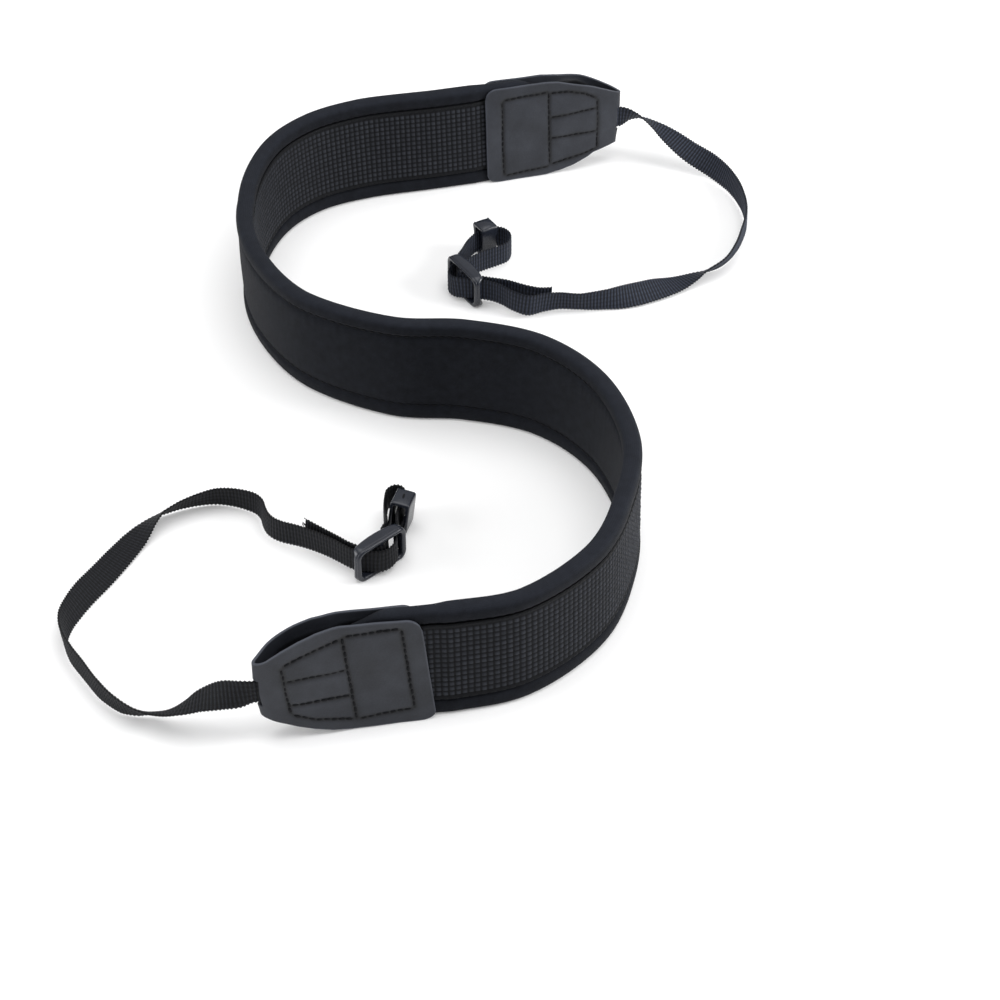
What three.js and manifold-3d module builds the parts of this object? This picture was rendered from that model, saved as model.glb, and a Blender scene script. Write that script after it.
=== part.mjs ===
// Camera neck strap: a padded neck band with a grip panel, two folded leather tabs,
// and a webbing strap at each end with its slide buckle and keeper.
// Millimetres. The band stands on its long edge on z = 0, +Z is up, and the two ends
// of the S lie at +Y (far end) and -Y (near end).
import * as THREE from 'three';
import { mergeVertices } from 'three/addons/utils/BufferGeometryUtils.js';
import Module from 'manifold-3d';

// Neck band
const PAD_HEIGHT = 52;
const PAD_HALF = 4;
const PAD_HALF_IN_TAB = 3;
const PAD_STEPS = 64;
const RIM_LOW = 7.1;
const RIM_HIGH = 6.7;
const PANEL_RECESS = 1.6;
const PANEL_PROUD = 0.2;
const CREASE_INSET = 10;
const CREASE_DEPTH = 0.8;
const FOOT_HALF = 1.2;
const GAP = 0.3;

// Leather tabs
const TAB_LENGTH = 68;
const TAB_TAPER = 37;
const TAB_WALL = 1.2;
const TAB_OPEN = 4.9;
const TAB_NOSE = 18;
const TAB_CORNER = 6;
const TAB_EDGE = 0.6;
const FOLD_LOW = 12.5;
const FOLD_HIGH = 39.5;
const PAD_START = 38.5;
const SQUEEZE_END = 78;
const SQUEEZE_START = 70;

// Webbing, buckles and keepers
const WEB_WIDTH = 11.6;
const WEB_THICK = 1.3;
const SLIT_Z = 24.4;
const SLIT_HEIGHT = WEB_WIDTH + 1.2;
const SLIT_WIDTH = WEB_THICK + 1.6;
const BUCKLE_LENGTH = 27.4;
const BUCKLE_HEIGHT = 16.4;
const BUCKLE_FRONT = 2.3;
const BUCKLE_BACK_END = 2.1;
const BUCKLE_BACK_MID = 4.4;
const BUCKLE_CORNER = 4;
const BAR_WIDTH = 2.4;
const BAR_BACK = 1.2;
const BAR_FRONT = 1.4;
const WINDOW_HEIGHT = WEB_WIDTH + 0.8;
const THREAD_Z = BUCKLE_HEIGHT / 2;
const KEEPER_LENGTH = 9.8;
const KEEPER_HEIGHT = 16;
const KEEPER_THICK = 7.4;
const KEEPER_WALL = 1.1;
const KEEPER_CLEAR = 0.2;

// Centreline of the band seen from above, from the fold of the far tab to the fold of
// the near tab. lean is how far the top edge lies towards the grip side.
const SPINE = [
  { x: 89.5, y: 214.5, lean: 0 },
  { x: 53, y: 202.6, lean: -4 },
  { x: 22, y: 193.6, lean: -5 },
  { x: -2, y: 187, lean: -5 },
  { x: -38, y: 177.8, lean: -6 },
  { x: -63, y: 165, lean: -4.5 },
  { x: -80, y: 143.5, lean: -3 },
  { x: -90, y: 96, lean: -0.5 },
  { x: -81, y: 53.3, lean: -2.5 },
  { x: -57.9, y: 18, lean: -3 },
  { x: -19.4, y: -3.6, lean: -0.5 },
  { x: 13, y: -7, lean: 0.5 },
  { x: 46.3, y: -18.3, lean: 0.5 },
  { x: 72.4, y: -47.6, lean: 0 },
  { x: 84.4, y: -90, lean: -0.5 },
  { x: 80.3, y: -127.5, lean: -1.5 },
  { x: 66.8, y: -161, lean: -1 },
  { x: 38, y: -188.6, lean: -1 },
  { x: 9.5, y: -197.8, lean: -2.5 },
  { x: -30, y: -206, lean: -5 },
  { x: -65.5, y: -214.5, lean: 0 },
];

// Where each slide buckle and keeper stands, seen from above. along is the direction of
// its length, and tilt the keeper's lean about it in degrees.
const FAR_BUCKLE = { x: 12.2, y: 89.8, along: [0.509, -0.861] };
const NEAR_BUCKLE = { x: -21.5, y: -112.6, along: [0.713, 0.701] };
const FAR_KEEPER = { x: 21.8, y: 126.9, along: [0.86, 0.51], tilt: 0 };
const NEAR_KEEPER = { x: -13, y: -85.2, along: [0.27, 0.963], tilt: 7 };

// A place beside a buckle: u runs along its length, v out of its face.
function beside(buckle, u, v, z = THREAD_Z) {
  const [ax, ay] = buckle.along;
  return {
    x: buckle.x + u * ax + v * ay,
    y: buckle.y + u * ay - v * ax,
    z,
    roll: 0,
  };
}

// Webbing routes, from inside the tab to the cut end. roll is the turn of the webbing's
// width from upright, towards the right of its path, in degrees.
const FAR_ROUTE = [
  { x: 60, y: 205.2, z: 24.4, roll: 0 },
  { x: 76, y: 210.4, z: 24.4, roll: 0 },
  { x: 90.6, y: 214.7, z: 24.4, roll: 0 },
  { x: 96.5, y: 216, z: 24, roll: 38 },
  { x: 102, y: 216, z: 22.6, roll: 62 },
  { x: 109, y: 214.2, z: 19, roll: 79 },
  { x: 116, y: 210.8, z: 15, roll: 98 },
  { x: 126, y: 204.2, z: 10, roll: 120 },
  { x: 137.5, y: 195, z: 6.8, roll: 150 },
  { x: 146, y: 180.5, z: 6.2, roll: 169 },
  { x: 150.6, y: 163, z: 6.2, roll: 179 },
  { x: 151, y: 147, z: 6.2, roll: 181 },
  { x: 147, y: 130, z: 6.2, roll: 176 },
  { x: 142.2, y: 117.6, z: 6.1, roll: 163 },
  { x: 136.6, y: 109, z: 5.6, roll: 148 },
  { x: 131.2, y: 105, z: 4.8, roll: 137 },
  { x: 124.3, y: 102.3, z: 3.1, roll: 115 },
  { x: 115.6, y: 97, z: 2.2, roll: 90 },
  { x: 104.2, y: 88.8, z: 4.2, roll: 60 },
  { x: 92.5, y: 82, z: 5.4, roll: 40 },
  { x: 80.4, y: 77.2, z: 6.2, roll: 4 },
  { x: 67, y: 75.2, z: 6.2, roll: -14 },
  { x: 57.5, y: 75.6, z: 6.4, roll: -11 },
  { x: 50, y: 73.4, z: 6.9, roll: -6 },
  { x: 42.3, y: 70, z: 7.5, roll: 0 },
  { x: 35, y: 73, z: THREAD_Z, roll: 0 },
  { x: 30, y: 77.8, z: THREAD_Z, roll: 0 },
  { x: 25.2, y: 80.8, z: THREAD_Z, roll: 0 },
  beside(FAR_BUCKLE, 9.2, -1.9),
  beside(FAR_BUCKLE, 6.2, 1.4),
  beside(FAR_BUCKLE, 3.6, 4.2, 8),
  beside(FAR_BUCKLE, 0, 5.4, 7.4),
  beside(FAR_BUCKLE, -3.4, 5.1, 7.2),
  beside(FAR_BUCKLE, -5.4, 3.7, 7.9),
  beside(FAR_BUCKLE, -7, 1, 8.3),
  beside(FAR_BUCKLE, -9.4, -1.7),
  beside(FAR_BUCKLE, -12.2, -2.4),
  beside(FAR_BUCKLE, -14.6, -5),
  beside(FAR_BUCKLE, -17.6, -9),
  { x: 13.6, y: 117, z: THREAD_Z, roll: 0 },
  { x: 17.2, y: 122.8, z: THREAD_Z, roll: 0 },
  { x: 21.6, y: 126.4, z: THREAD_Z, roll: 0 },
  { x: 26.2, y: 128.4, z: THREAD_Z, roll: 0 },
  { x: 30.6, y: 127.4, z: THREAD_Z, roll: 0 },
  { x: 33.4, y: 124, z: THREAD_Z, roll: 0 },
  { x: 34, y: 119.8, z: THREAD_Z, roll: 0 },
  { x: 32.4, y: 114.6, z: THREAD_Z, roll: 0 },
  { x: 27.4, y: 110.8, z: THREAD_Z, roll: 0 },
  { x: 20.8, y: 106.8, z: THREAD_Z, roll: 0 },
  beside(FAR_BUCKLE, -9.4, -9.6),
  beside(FAR_BUCKLE, -8, -5),
  beside(FAR_BUCKLE, -5.4, -1),
  beside(FAR_BUCKLE, -2.8, 1.8),
  beside(FAR_BUCKLE, 0, 2.5),
  beside(FAR_BUCKLE, 2.8, 1.4),
  beside(FAR_BUCKLE, 5.2, -1.2),
  beside(FAR_BUCKLE, 7.4, -4.2),
  { x: 24, y: 84.5, z: THREAD_Z, roll: 0 },
  { x: 32.2, y: 82.4, z: 8.2, roll: 0 },
  { x: 41.8, y: 78.4, z: 7.8, roll: 0 },
  { x: 47.6, y: 77.4, z: 7.2, roll: 0 },
  { x: 53.5, y: 77.8, z: 6.9, roll: -3 },
];
const NEAR_ROUTE = [
  { x: -36, y: -207.6, z: 24.4, roll: 0 },
  { x: -52, y: -211.4, z: 24.4, roll: 0 },
  { x: -66.8, y: -214.8, z: 24.4, roll: 0 },
  { x: -72, y: -215.6, z: 24, roll: 20 },
  { x: -78.5, y: -214.7, z: 22.6, roll: 42 },
  { x: -86.5, y: -213, z: 18.8, roll: 73 },
  { x: -94, y: -212, z: 14, roll: 97 },
  { x: -101, y: -210.2, z: 9.5, roll: 115 },
  { x: -107.5, y: -207.8, z: 6.6, roll: 129 },
  { x: -114, y: -206.2, z: 5.8, roll: 147 },
  { x: -120.8, y: -203, z: 6.1, roll: 165 },
  { x: -129.6, y: -194.2, z: 6.2, roll: 176 },
  { x: -137.8, y: -182, z: 6.2, roll: 179 },
  { x: -144.2, y: -172, z: 6.2, roll: 179 },
  { x: -148.2, y: -162, z: 6.1, roll: 172 },
  { x: -148.6, y: -152.5, z: 5.8, roll: 156 },
  { x: -146.6, y: -143.8, z: 5.2, roll: 146 },
  { x: -143.1, y: -134, z: 4.6, roll: 134 },
  { x: -137.7, y: -121.8, z: 3.4, roll: 118 },
  { x: -132.1, y: -109, z: 2.6, roll: 107 },
  { x: -126.9, y: -97, z: 2, roll: 92 },
  { x: -121.8, y: -88.2, z: 3.6, roll: 64 },
  { x: -117.2, y: -83.1, z: 4.9, roll: 47 },
  { x: -113, y: -80.2, z: 5.4, roll: 38 },
  { x: -108.4, y: -77.4, z: 5.8, roll: 32 },
  { x: -101, y: -74, z: 6, roll: 23 },
  { x: -94, y: -72.1, z: 6.1, roll: 14 },
  { x: -86.7, y: -72.7, z: 6.2, roll: 7 },
  { x: -80.2, y: -74.8, z: 6.2, roll: 1 },
  { x: -76, y: -77.2, z: 6.2, roll: -2 },
  { x: -73.2, y: -81, z: 6.2, roll: -4 },
  { x: -71.8, y: -86, z: 6.2, roll: -5 },
  { x: -70, y: -90.4, z: 6.2, roll: -5 },
  { x: -67.2, y: -93.8, z: 6.3, roll: -4 },
  { x: -63.4, y: -96.4, z: 6.5, roll: -3 },
  { x: -57.4, y: -99.2, z: 7, roll: -2 },
  { x: -51.3, y: -102.6, z: 7.5, roll: 0 },
  { x: -46, y: -106.2, z: 8, roll: 0 },
  { x: -41, y: -109.8, z: THREAD_Z, roll: 0 },
  { x: -37, y: -113, z: THREAD_Z, roll: 0 },
  { x: -33.2, y: -115.8, z: THREAD_Z, roll: 0 },
  beside(NEAR_BUCKLE, -9, -2),
  beside(NEAR_BUCKLE, -6.2, 1.2),
  beside(NEAR_BUCKLE, -3.4, 3.9, 8),
  beside(NEAR_BUCKLE, 0, 4.9, 7.7),
  beside(NEAR_BUCKLE, 3.4, 4.1, 7.8),
  beside(NEAR_BUCKLE, 6.2, 1.4),
  beside(NEAR_BUCKLE, 9, -1.5),
  beside(NEAR_BUCKLE, 12.4, -2.4),
  beside(NEAR_BUCKLE, 14.8, -4.8),
  { x: -13.6, y: -96.4, z: THREAD_Z, roll: 0 },
  { x: -14.4, y: -89, z: THREAD_Z, roll: 0 },
  { x: -12.8, y: -82, z: THREAD_Z, roll: 0 },
  { x: -11.9, y: -77.6, z: THREAD_Z, roll: 0 },
  { x: -13.2, y: -74.4, z: THREAD_Z, roll: 0 },
  { x: -16.2, y: -73.6, z: THREAD_Z, roll: 0 },
  { x: -19.2, y: -76, z: THREAD_Z, roll: 0 },
  { x: -20, y: -80.6, z: THREAD_Z, roll: 0 },
  { x: -20.1, y: -88.4, z: THREAD_Z, roll: 0 },
  { x: -20.1, y: -96.6, z: THREAD_Z, roll: 0 },
  beside(NEAR_BUCKLE, 7.2, -6.4),
  beside(NEAR_BUCKLE, 5.4, -1.6),
  beside(NEAR_BUCKLE, 2.8, 1.7),
  beside(NEAR_BUCKLE, 0, 2.5),
  beside(NEAR_BUCKLE, -2.8, 1.4),
  beside(NEAR_BUCKLE, -5.2, -1.2),
  beside(NEAR_BUCKLE, -7, -4.4),
  { x: -34.2, y: -111.8, z: THREAD_Z, roll: 0 },
  { x: -39.6, y: -107.4, z: THREAD_Z, roll: 0 },
  { x: -45, y: -103.4, z: 8, roll: 0 },
  { x: -53.4, y: -98, z: 7.4, roll: 0 },
];

const FINISH = {
  neoprene: { color: 0x1f1f23, roughness: 0.85, metalness: 0 },
  grip: { color: 0x25262a, roughness: 0.9, metalness: 0 },
  leather: { color: 0x414148, roughness: 0.6, metalness: 0 },
  webbing: { color: 0x202128, roughness: 0.85, metalness: 0 },
  plastic: { color: 0x2a2a30, roughness: 0.4, metalness: 0 },
};

const wasm = await Module();
wasm.setup();

const strap = new THREE.Group();

function addPiece(name, geometry, finish) {
  const mesh = new THREE.Mesh(geometry, new THREE.MeshStandardMaterial(FINISH[finish]));
  mesh.name = name;
  strap.add(mesh);
  return mesh;
}

// A closed solid through equal rings of points, with fan caps on its two ends.
function loft(rings) {
  const sides = rings[0].length;
  const places = rings.flat().flatMap((p) => [p.x, p.y, p.z]);
  const faces = [];
  for (let i = 0; i + 1 < rings.length; i += 1) {
    for (let j = 0; j < sides; j += 1) {
      const a = i * sides + j;
      const b = i * sides + ((j + 1) % sides);
      faces.push(a, b, b + sides, a, b + sides, a + sides);
    }
  }
  const flat = rings[0].map((p) => new THREE.Vector2(p.capX, p.capY));
  const last = (rings.length - 1) * sides;
  for (const [a, b, c] of THREE.ShapeUtils.triangulateShape(flat, [])) {
    faces.push(a, c, b, last + a, last + b, last + c);
  }
  const geometry = new THREE.BufferGeometry();
  geometry.setAttribute('position', new THREE.Float32BufferAttribute(places, 3));
  geometry.setIndex(faces);
  return geometry;
}

// The order of a ring's points decides which way its faces look.
function facingOut(geometry) {
  const p = geometry.attributes.position;
  const index = geometry.index.array;
  const [a, b, c] = [new THREE.Vector3(), new THREE.Vector3(), new THREE.Vector3()];
  let volume = 0;
  for (let i = 0; i < index.length; i += 3) {
    a.fromBufferAttribute(p, index[i]);
    b.fromBufferAttribute(p, index[i + 1]);
    c.fromBufferAttribute(p, index[i + 2]);
    volume += a.dot(b.cross(c));
  }
  if (volume < 0) {
    index.reverse();
  }
  geometry.computeVertexNormals();
  return geometry;
}

function toSolid(geometry) {
  const bare = geometry.clone();
  bare.deleteAttribute('normal');
  bare.deleteAttribute('uv');
  const merged = mergeVertices(bare, 1e-4);
  return new wasm.Manifold(new wasm.Mesh({
    numProp: 3,
    vertProperties: new Float32Array(merged.attributes.position.array),
    triVerts: new Uint32Array(merged.index.array),
  }));
}

function toGeometry(solid) {
  const mesh = solid.getMesh();
  const geometry = new THREE.BufferGeometry();
  geometry.setAttribute('position', new THREE.Float32BufferAttribute(mesh.vertProperties, 3));
  geometry.setIndex([...mesh.triVerts]);
  geometry.computeVertexNormals();
  return geometry;
}

const spineCurve = new THREE.CatmullRomCurve3(SPINE.map((r) => new THREE.Vector3(r.x, r.y, 0)));
spineCurve.arcLengthDivisions = 1200;
const SPINE_LENGTH = spineCurve.getLength();

// Place, tangent, grip-side normal and lean of the band at a distance from the far fold.
function spineAt(distance) {
  const share = THREE.MathUtils.clamp(distance / SPINE_LENGTH, 0, 1);
  const place = spineCurve.getPointAt(share);
  const tangent = spineCurve.getTangentAt(share);
  const row = spineCurve.getUtoTmapping(share) * (SPINE.length - 1);
  const first = Math.min(Math.floor(row), SPINE.length - 2);
  const lean = THREE.MathUtils.lerp(SPINE[first].lean, SPINE[first + 1].lean, row - first);
  return { place, tangent, normal: new THREE.Vector3(-tangent.y, tangent.x, 0), lean };
}

// A point of the band: offset to the grip side and height above its lower edge.
function bandPoint(at, offset, height) {
  const shift = offset + at.lean * height / PAD_HEIGHT;
  const point = at.place.clone().addScaledVector(at.normal, shift);
  point.z = height;
  point.capX = offset;
  point.capY = height;
  return point;
}

function fromNearestFold(distance) {
  return Math.min(distance, SPINE_LENGTH - distance);
}

// The stitched tabs press the band thinner.
function padHalf(distance) {
  const open = THREE.MathUtils.smoothstep(fromNearestFold(distance), SQUEEZE_START, SQUEEZE_END);
  return THREE.MathUtils.lerp(PAD_HALF_IN_TAB, PAD_HALF, open);
}

function padSection(half) {
  const top = PAD_HEIGHT;
  const recess = half - PANEL_RECESS;
  const inner = -half + CREASE_DEPTH;
  return [
    [FOOT_HALF, 0],
    [0.72 * half, 0.7],
    [half, 3],
    [half, RIM_LOW - 0.9],
    [half - 0.8, RIM_LOW - 0.2],
    [recess, RIM_LOW + 0.2],
    [recess, top - RIM_HIGH - 0.2],
    [half - 0.8, top - RIM_HIGH + 0.2],
    [half, top - RIM_HIGH + 0.9],
    [half, top - 3],
    [0.72 * half, top - 0.7],
    [FOOT_HALF, top],
    [-FOOT_HALF, top],
    [-0.72 * half, top - 0.7],
    [-half, top - 3],
    [-half, top - CREASE_INSET + 1.2],
    [inner, top - CREASE_INSET],
    [-half + 0.3, top - CREASE_INSET - 1.4],
    [-half + 0.3, CREASE_INSET + 1.4],
    [inner, CREASE_INSET],
    [-half, CREASE_INSET - 1.2],
    [-half, 3],
    [-0.72 * half, 0.7],
    [-FOOT_HALF, 0],
  ];
}

function panelSection(half) {
  const back = half - PANEL_RECESS + 1.5 * GAP;
  const face = half - PANEL_PROUD;
  const low = RIM_LOW + 0.8;
  const high = PAD_HEIGHT - RIM_HIGH - 0.8;
  return [
    [back, low],
    [face - 0.4, low],
    [face, low + 0.6],
    [face, high - 0.6],
    [face - 0.4, high],
    [back, high],
  ];
}

function bandSolid(section, start, end) {
  const rings = [];
  for (let i = 0; i <= PAD_STEPS; i += 1) {
    const distance = THREE.MathUtils.lerp(start, end, i / PAD_STEPS);
    const at = spineAt(distance);
    rings.push(section(padHalf(distance)).map(([offset, height]) => bandPoint(at, offset, height)));
  }
  return facingOut(loft(rings));
}

// Half the distance between the two flaps, measured at the middle of the leather.
function flapOffset(s) {
  const closed = WEB_THICK / 2 + 0.5 + TAB_WALL / 2;
  const open = TAB_OPEN - TAB_WALL / 2;
  const onPad = PAD_HALF_IN_TAB + GAP + TAB_WALL / 2;
  const nose = Math.min(s / TAB_NOSE, 1);
  const rounded = Math.sqrt(1 - (1 - nose) ** 2);
  const swell = THREE.MathUtils.lerp(0, open, rounded);
  const settle = THREE.MathUtils.smoothstep(s, TAB_TAPER * 0.7, TAB_TAPER);
  return Math.max(THREE.MathUtils.lerp(swell, onPad, settle), closed * rounded ** 0.5);
}

// Lower and upper edge of the leather: tapered to the fold, round at the flap's corners.
function flapEdges(s) {
  const t = Math.min(s / TAB_TAPER, 1);
  const spread = t * (1.35 - 0.35 * t);
  const fromEnd = Math.min(TAB_LENGTH - s, TAB_CORNER) / TAB_CORNER;
  const corner = TAB_CORNER * (1 - Math.sqrt(1 - (1 - fromEnd) ** 2));
  return {
    low: THREE.MathUtils.lerp(FOLD_LOW, TAB_EDGE, spread) + corner,
    high: THREE.MathUtils.lerp(FOLD_HIGH, PAD_HEIGHT - TAB_EDGE, spread) - corner,
  };
}

// Distances from the fold at which the leather is drawn, closer at the nose and the corners.
const FLAP_STATIONS = [68, 67.8, 67, 65.6, 64, 62, 52, 44, 37, 32, 27, 22, 18, 14, 10, 7, 4.5, 2.5, 1, 0.25];

// One strip of leather from the grip-side flap's end, round the fold, to the other end.
function tabSolid(place) {
  const stations = [
    ...FLAP_STATIONS.map((s) => ({ s, side: 1 })),
    { s: 0, side: 0 },
    ...FLAP_STATIONS.map((s) => ({ s, side: -1 })).reverse(),
  ];
  const middles = stations.map(({ s, side }) => {
    const at = place(s);
    const point = at.place.clone().addScaledVector(at.normal, side * flapOffset(s));
    return { at, s, point };
  });
  const rings = middles.map(({ at, s, point }, i) => {
    const before = middles[Math.max(i - 1, 0)].point;
    const after = middles[Math.min(i + 1, middles.length - 1)].point;
    const along = after.clone().sub(before).normalize();
    const across = new THREE.Vector3(-along.y, along.x, 0);
    const { low, high } = flapEdges(s);
    const wall = TAB_WALL / 2;
    return [[wall, low], [wall, high], [-wall, high], [-wall, low]].map(([offset, height]) => {
      const corner = point.clone().addScaledVector(across, offset);
      corner.addScaledVector(at.normal, at.lean * height / PAD_HEIGHT);
      corner.z = height;
      corner.capX = offset;
      corner.capY = height;
      return corner;
    });
  });
  const leather = toSolid(facingOut(loft(rings)));
  const fold = place(0);
  const slit = new THREE.BoxGeometry(8, SLIT_WIDTH, SLIT_HEIGHT);
  slit.rotateZ(Math.atan2(fold.tangent.y, fold.tangent.x));
  const leanHere = fold.lean * SLIT_Z / PAD_HEIGHT;
  const middle = fold.place.clone().addScaledVector(fold.normal, leanHere);
  slit.translate(middle.x, middle.y, SLIT_Z);
  return toGeometry(leather.subtract(toSolid(slit)));
}

// A flat strap along a route of rows { x, y, z, roll }.
function webbingSolid(route) {
  const curve = new THREE.CatmullRomCurve3(route.map((r) => new THREE.Vector3(r.x, r.y, r.z)));
  const segments = route.length - 1;
  const rings = [];
  for (let i = 0; i < segments; i += 1) {
    const from = new THREE.Vector3(route[i].x, route[i].y, route[i].z);
    const to = new THREE.Vector3(route[i + 1].x, route[i + 1].y, route[i + 1].z);
    const steps = Math.max(2, Math.round(from.distanceTo(to) / 3.5));
    for (let k = i === 0 ? 0 : 1; k <= steps; k += 1) {
      const share = k / steps;
      const t = (i + share) / segments;
      const roll = THREE.MathUtils.degToRad(
        THREE.MathUtils.lerp(route[i].roll, route[i + 1].roll, share),
      );
      const place = curve.getPoint(t);
      const tangent = curve.getTangent(t);
      const right = tangent.clone().cross(new THREE.Vector3(0, 0, 1)).normalize();
      const up = right.clone().cross(tangent).normalize();
      const width = up.multiplyScalar(Math.cos(roll)).addScaledVector(right, Math.sin(roll));
      const thick = width.clone().cross(tangent).normalize();
      const [w, h] = [WEB_WIDTH / 2, WEB_THICK / 2];
      rings.push([[w, h], [-w, h], [-w, -h], [w, -h]].map(([a, b]) => {
        const corner = place.clone().addScaledVector(width, a).addScaledVector(thick, b);
        corner.capX = a;
        corner.capY = b;
        return corner;
      }));
    }
  }
  return facingOut(loft(rings));
}

function roundedOutline(path, width, height, radius) {
  const [x, y] = [width / 2, height / 2];
  path.moveTo(-x + radius, -y);
  path.lineTo(x - radius, -y);
  path.absarc(x - radius, -y + radius, radius, -Math.PI / 2, 0, false);
  path.lineTo(x, y - radius);
  path.absarc(x - radius, y - radius, radius, 0, Math.PI / 2, false);
  path.lineTo(-x + radius, y);
  path.absarc(-x + radius, y - radius, radius, Math.PI / 2, Math.PI, false);
  path.lineTo(-x, -y + radius);
  path.absarc(-x + radius, -y + radius, radius, Math.PI, Math.PI * 1.5, false);
  return path;
}

function box(width, height, depth, x, y, z) {
  const geometry = new THREE.BoxGeometry(width, height, depth);
  geometry.translate(x, y, z);
  return toSolid(geometry);
}

// Frame with two windows and three bars, drawn lying on its bowed back: x along its
// length, y along the bars, +z out of its face.
function buckleSolid() {
  const depth = BUCKLE_FRONT + BUCKLE_BACK_MID;
  const outline = roundedOutline(new THREE.Shape(), BUCKLE_LENGTH, BUCKLE_HEIGHT, BUCKLE_CORNER);
  outline.holes.push(roundedOutline(
    new THREE.Path(), BUCKLE_LENGTH - 2 * BAR_WIDTH, WINDOW_HEIGHT, 0.6,
  ));
  const frame = new THREE.ExtrudeGeometry(outline, {
    depth: depth + 2,
    bevelEnabled: false,
    curveSegments: 5,
  });
  frame.translate(0, 0, -BUCKLE_BACK_MID - 1);
  const end = BUCKLE_LENGTH / 2;
  const bow = new THREE.Shape();
  bow.moveTo(-end - 1, BUCKLE_FRONT - 1.4);
  bow.lineTo(-end + 0.8, BUCKLE_FRONT);
  bow.lineTo(end - 0.8, BUCKLE_FRONT);
  bow.lineTo(end + 1, BUCKLE_FRONT - 1.4);
  bow.lineTo(end + 1, -BUCKLE_BACK_END);
  const control = BUCKLE_BACK_END - 2 * BUCKLE_BACK_MID;
  bow.quadraticCurveTo(0, control, -end - 1, -BUCKLE_BACK_END);
  const bowed = new THREE.ExtrudeGeometry(bow, {
    depth: BUCKLE_HEIGHT + 2,
    bevelEnabled: false,
    curveSegments: 10,
  });
  bowed.translate(0, 0, -BUCKLE_HEIGHT / 2 - 1);
  bowed.rotateX(Math.PI / 2);
  let solid = toSolid(frame).intersect(toSolid(bowed));
  const barAt = end - BAR_WIDTH / 2;
  const barDepth = BAR_FRONT + BAR_BACK;
  const barMiddle = (BAR_FRONT - BAR_BACK) / 2;
  solid = solid.add(box(BAR_WIDTH, WINDOW_HEIGHT + 1.2, barDepth, 0, 0, barMiddle));
  for (const side of [-1, 1]) {
    const behind = -BAR_BACK - depth / 2;
    solid = solid.subtract(box(BAR_WIDTH + 2, WINDOW_HEIGHT, depth, side * barAt, 0, behind));
  }
  return toGeometry(solid);
}

// Short rectangular sleeve that the webbing slides through.
function keeperSolid() {
  const outline = roundedOutline(new THREE.Shape(), KEEPER_THICK, KEEPER_HEIGHT, 1.4);
  outline.holes.push(roundedOutline(
    new THREE.Path(), KEEPER_THICK - 2 * KEEPER_WALL, KEEPER_HEIGHT - 2 * KEEPER_WALL, 0.5,
  ));
  const sleeve = new THREE.ExtrudeGeometry(outline, {
    depth: KEEPER_LENGTH,
    bevelEnabled: false,
    curveSegments: 3,
  });
  sleeve.translate(0, 0, -KEEPER_LENGTH / 2);
  return facingOut(mergeVertices(stripped(sleeve), 1e-4));
}

function stripped(geometry) {
  geometry.deleteAttribute('normal');
  geometry.deleteAttribute('uv');
  return geometry;
}

// Stands a buckle up with its length along the given direction.
function standBuckle(mesh, where) {
  mesh.rotation.set(Math.PI / 2, 0, Math.atan2(where.along[1], where.along[0]), 'ZYX');
  mesh.position.set(where.x, where.y, THREAD_Z);
}

// A keeper is drawn along its own z, so it is turned a further quarter.
function standKeeper(mesh, where) {
  const angle = Math.atan2(where.along[1], where.along[0]) + Math.PI / 2;
  const tilt = THREE.MathUtils.degToRad(where.tilt);
  mesh.rotation.set(Math.PI / 2, tilt, angle, 'ZYX');
  const dip = KEEPER_THICK / 2 * Math.sin(Math.abs(tilt));
  mesh.position.set(where.x, where.y, KEEPER_HEIGHT / 2 + KEEPER_CLEAR + dip);
}

addPiece('neck_pad', bandSolid(padSection, PAD_START, SPINE_LENGTH - PAD_START), 'neoprene');
addPiece('grip_panel', bandSolid(panelSection, PAD_START, SPINE_LENGTH - PAD_START), 'grip');

addPiece('far_tab', tabSolid((s) => spineAt(s)), 'leather');
addPiece('near_tab', tabSolid((s) => spineAt(SPINE_LENGTH - s)), 'leather');

addPiece('far_webbing', webbingSolid(FAR_ROUTE), 'webbing');
addPiece('near_webbing', webbingSolid(NEAR_ROUTE), 'webbing');

standBuckle(addPiece('far_buckle', buckleSolid(), 'plastic'), FAR_BUCKLE);
standBuckle(addPiece('near_buckle', buckleSolid(), 'plastic'), NEAR_BUCKLE);
standKeeper(addPiece('far_keeper', keeperSolid(), 'plastic'), FAR_KEEPER);
standKeeper(addPiece('near_keeper', keeperSolid(), 'plastic'), NEAR_KEEPER);

export default strap;
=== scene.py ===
"""Camera neck strap standing on its long edge on a pale floor."""

import functools
import math
import random

import bmesh
import bpy
import numpy as np
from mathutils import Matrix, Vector


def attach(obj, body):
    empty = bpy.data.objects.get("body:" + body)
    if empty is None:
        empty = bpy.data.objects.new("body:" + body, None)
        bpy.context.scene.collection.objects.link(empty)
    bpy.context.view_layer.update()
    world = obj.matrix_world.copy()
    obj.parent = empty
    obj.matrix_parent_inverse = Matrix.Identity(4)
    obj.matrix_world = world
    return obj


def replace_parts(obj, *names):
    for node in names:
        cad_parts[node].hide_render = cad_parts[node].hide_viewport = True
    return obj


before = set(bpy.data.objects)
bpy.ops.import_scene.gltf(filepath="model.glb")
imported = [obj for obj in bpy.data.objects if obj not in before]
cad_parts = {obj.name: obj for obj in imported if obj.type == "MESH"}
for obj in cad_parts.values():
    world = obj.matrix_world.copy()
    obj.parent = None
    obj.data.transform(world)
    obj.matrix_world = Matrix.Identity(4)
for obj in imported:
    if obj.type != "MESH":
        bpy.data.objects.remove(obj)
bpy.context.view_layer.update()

MM = 0.001
random.seed(7)

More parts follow.
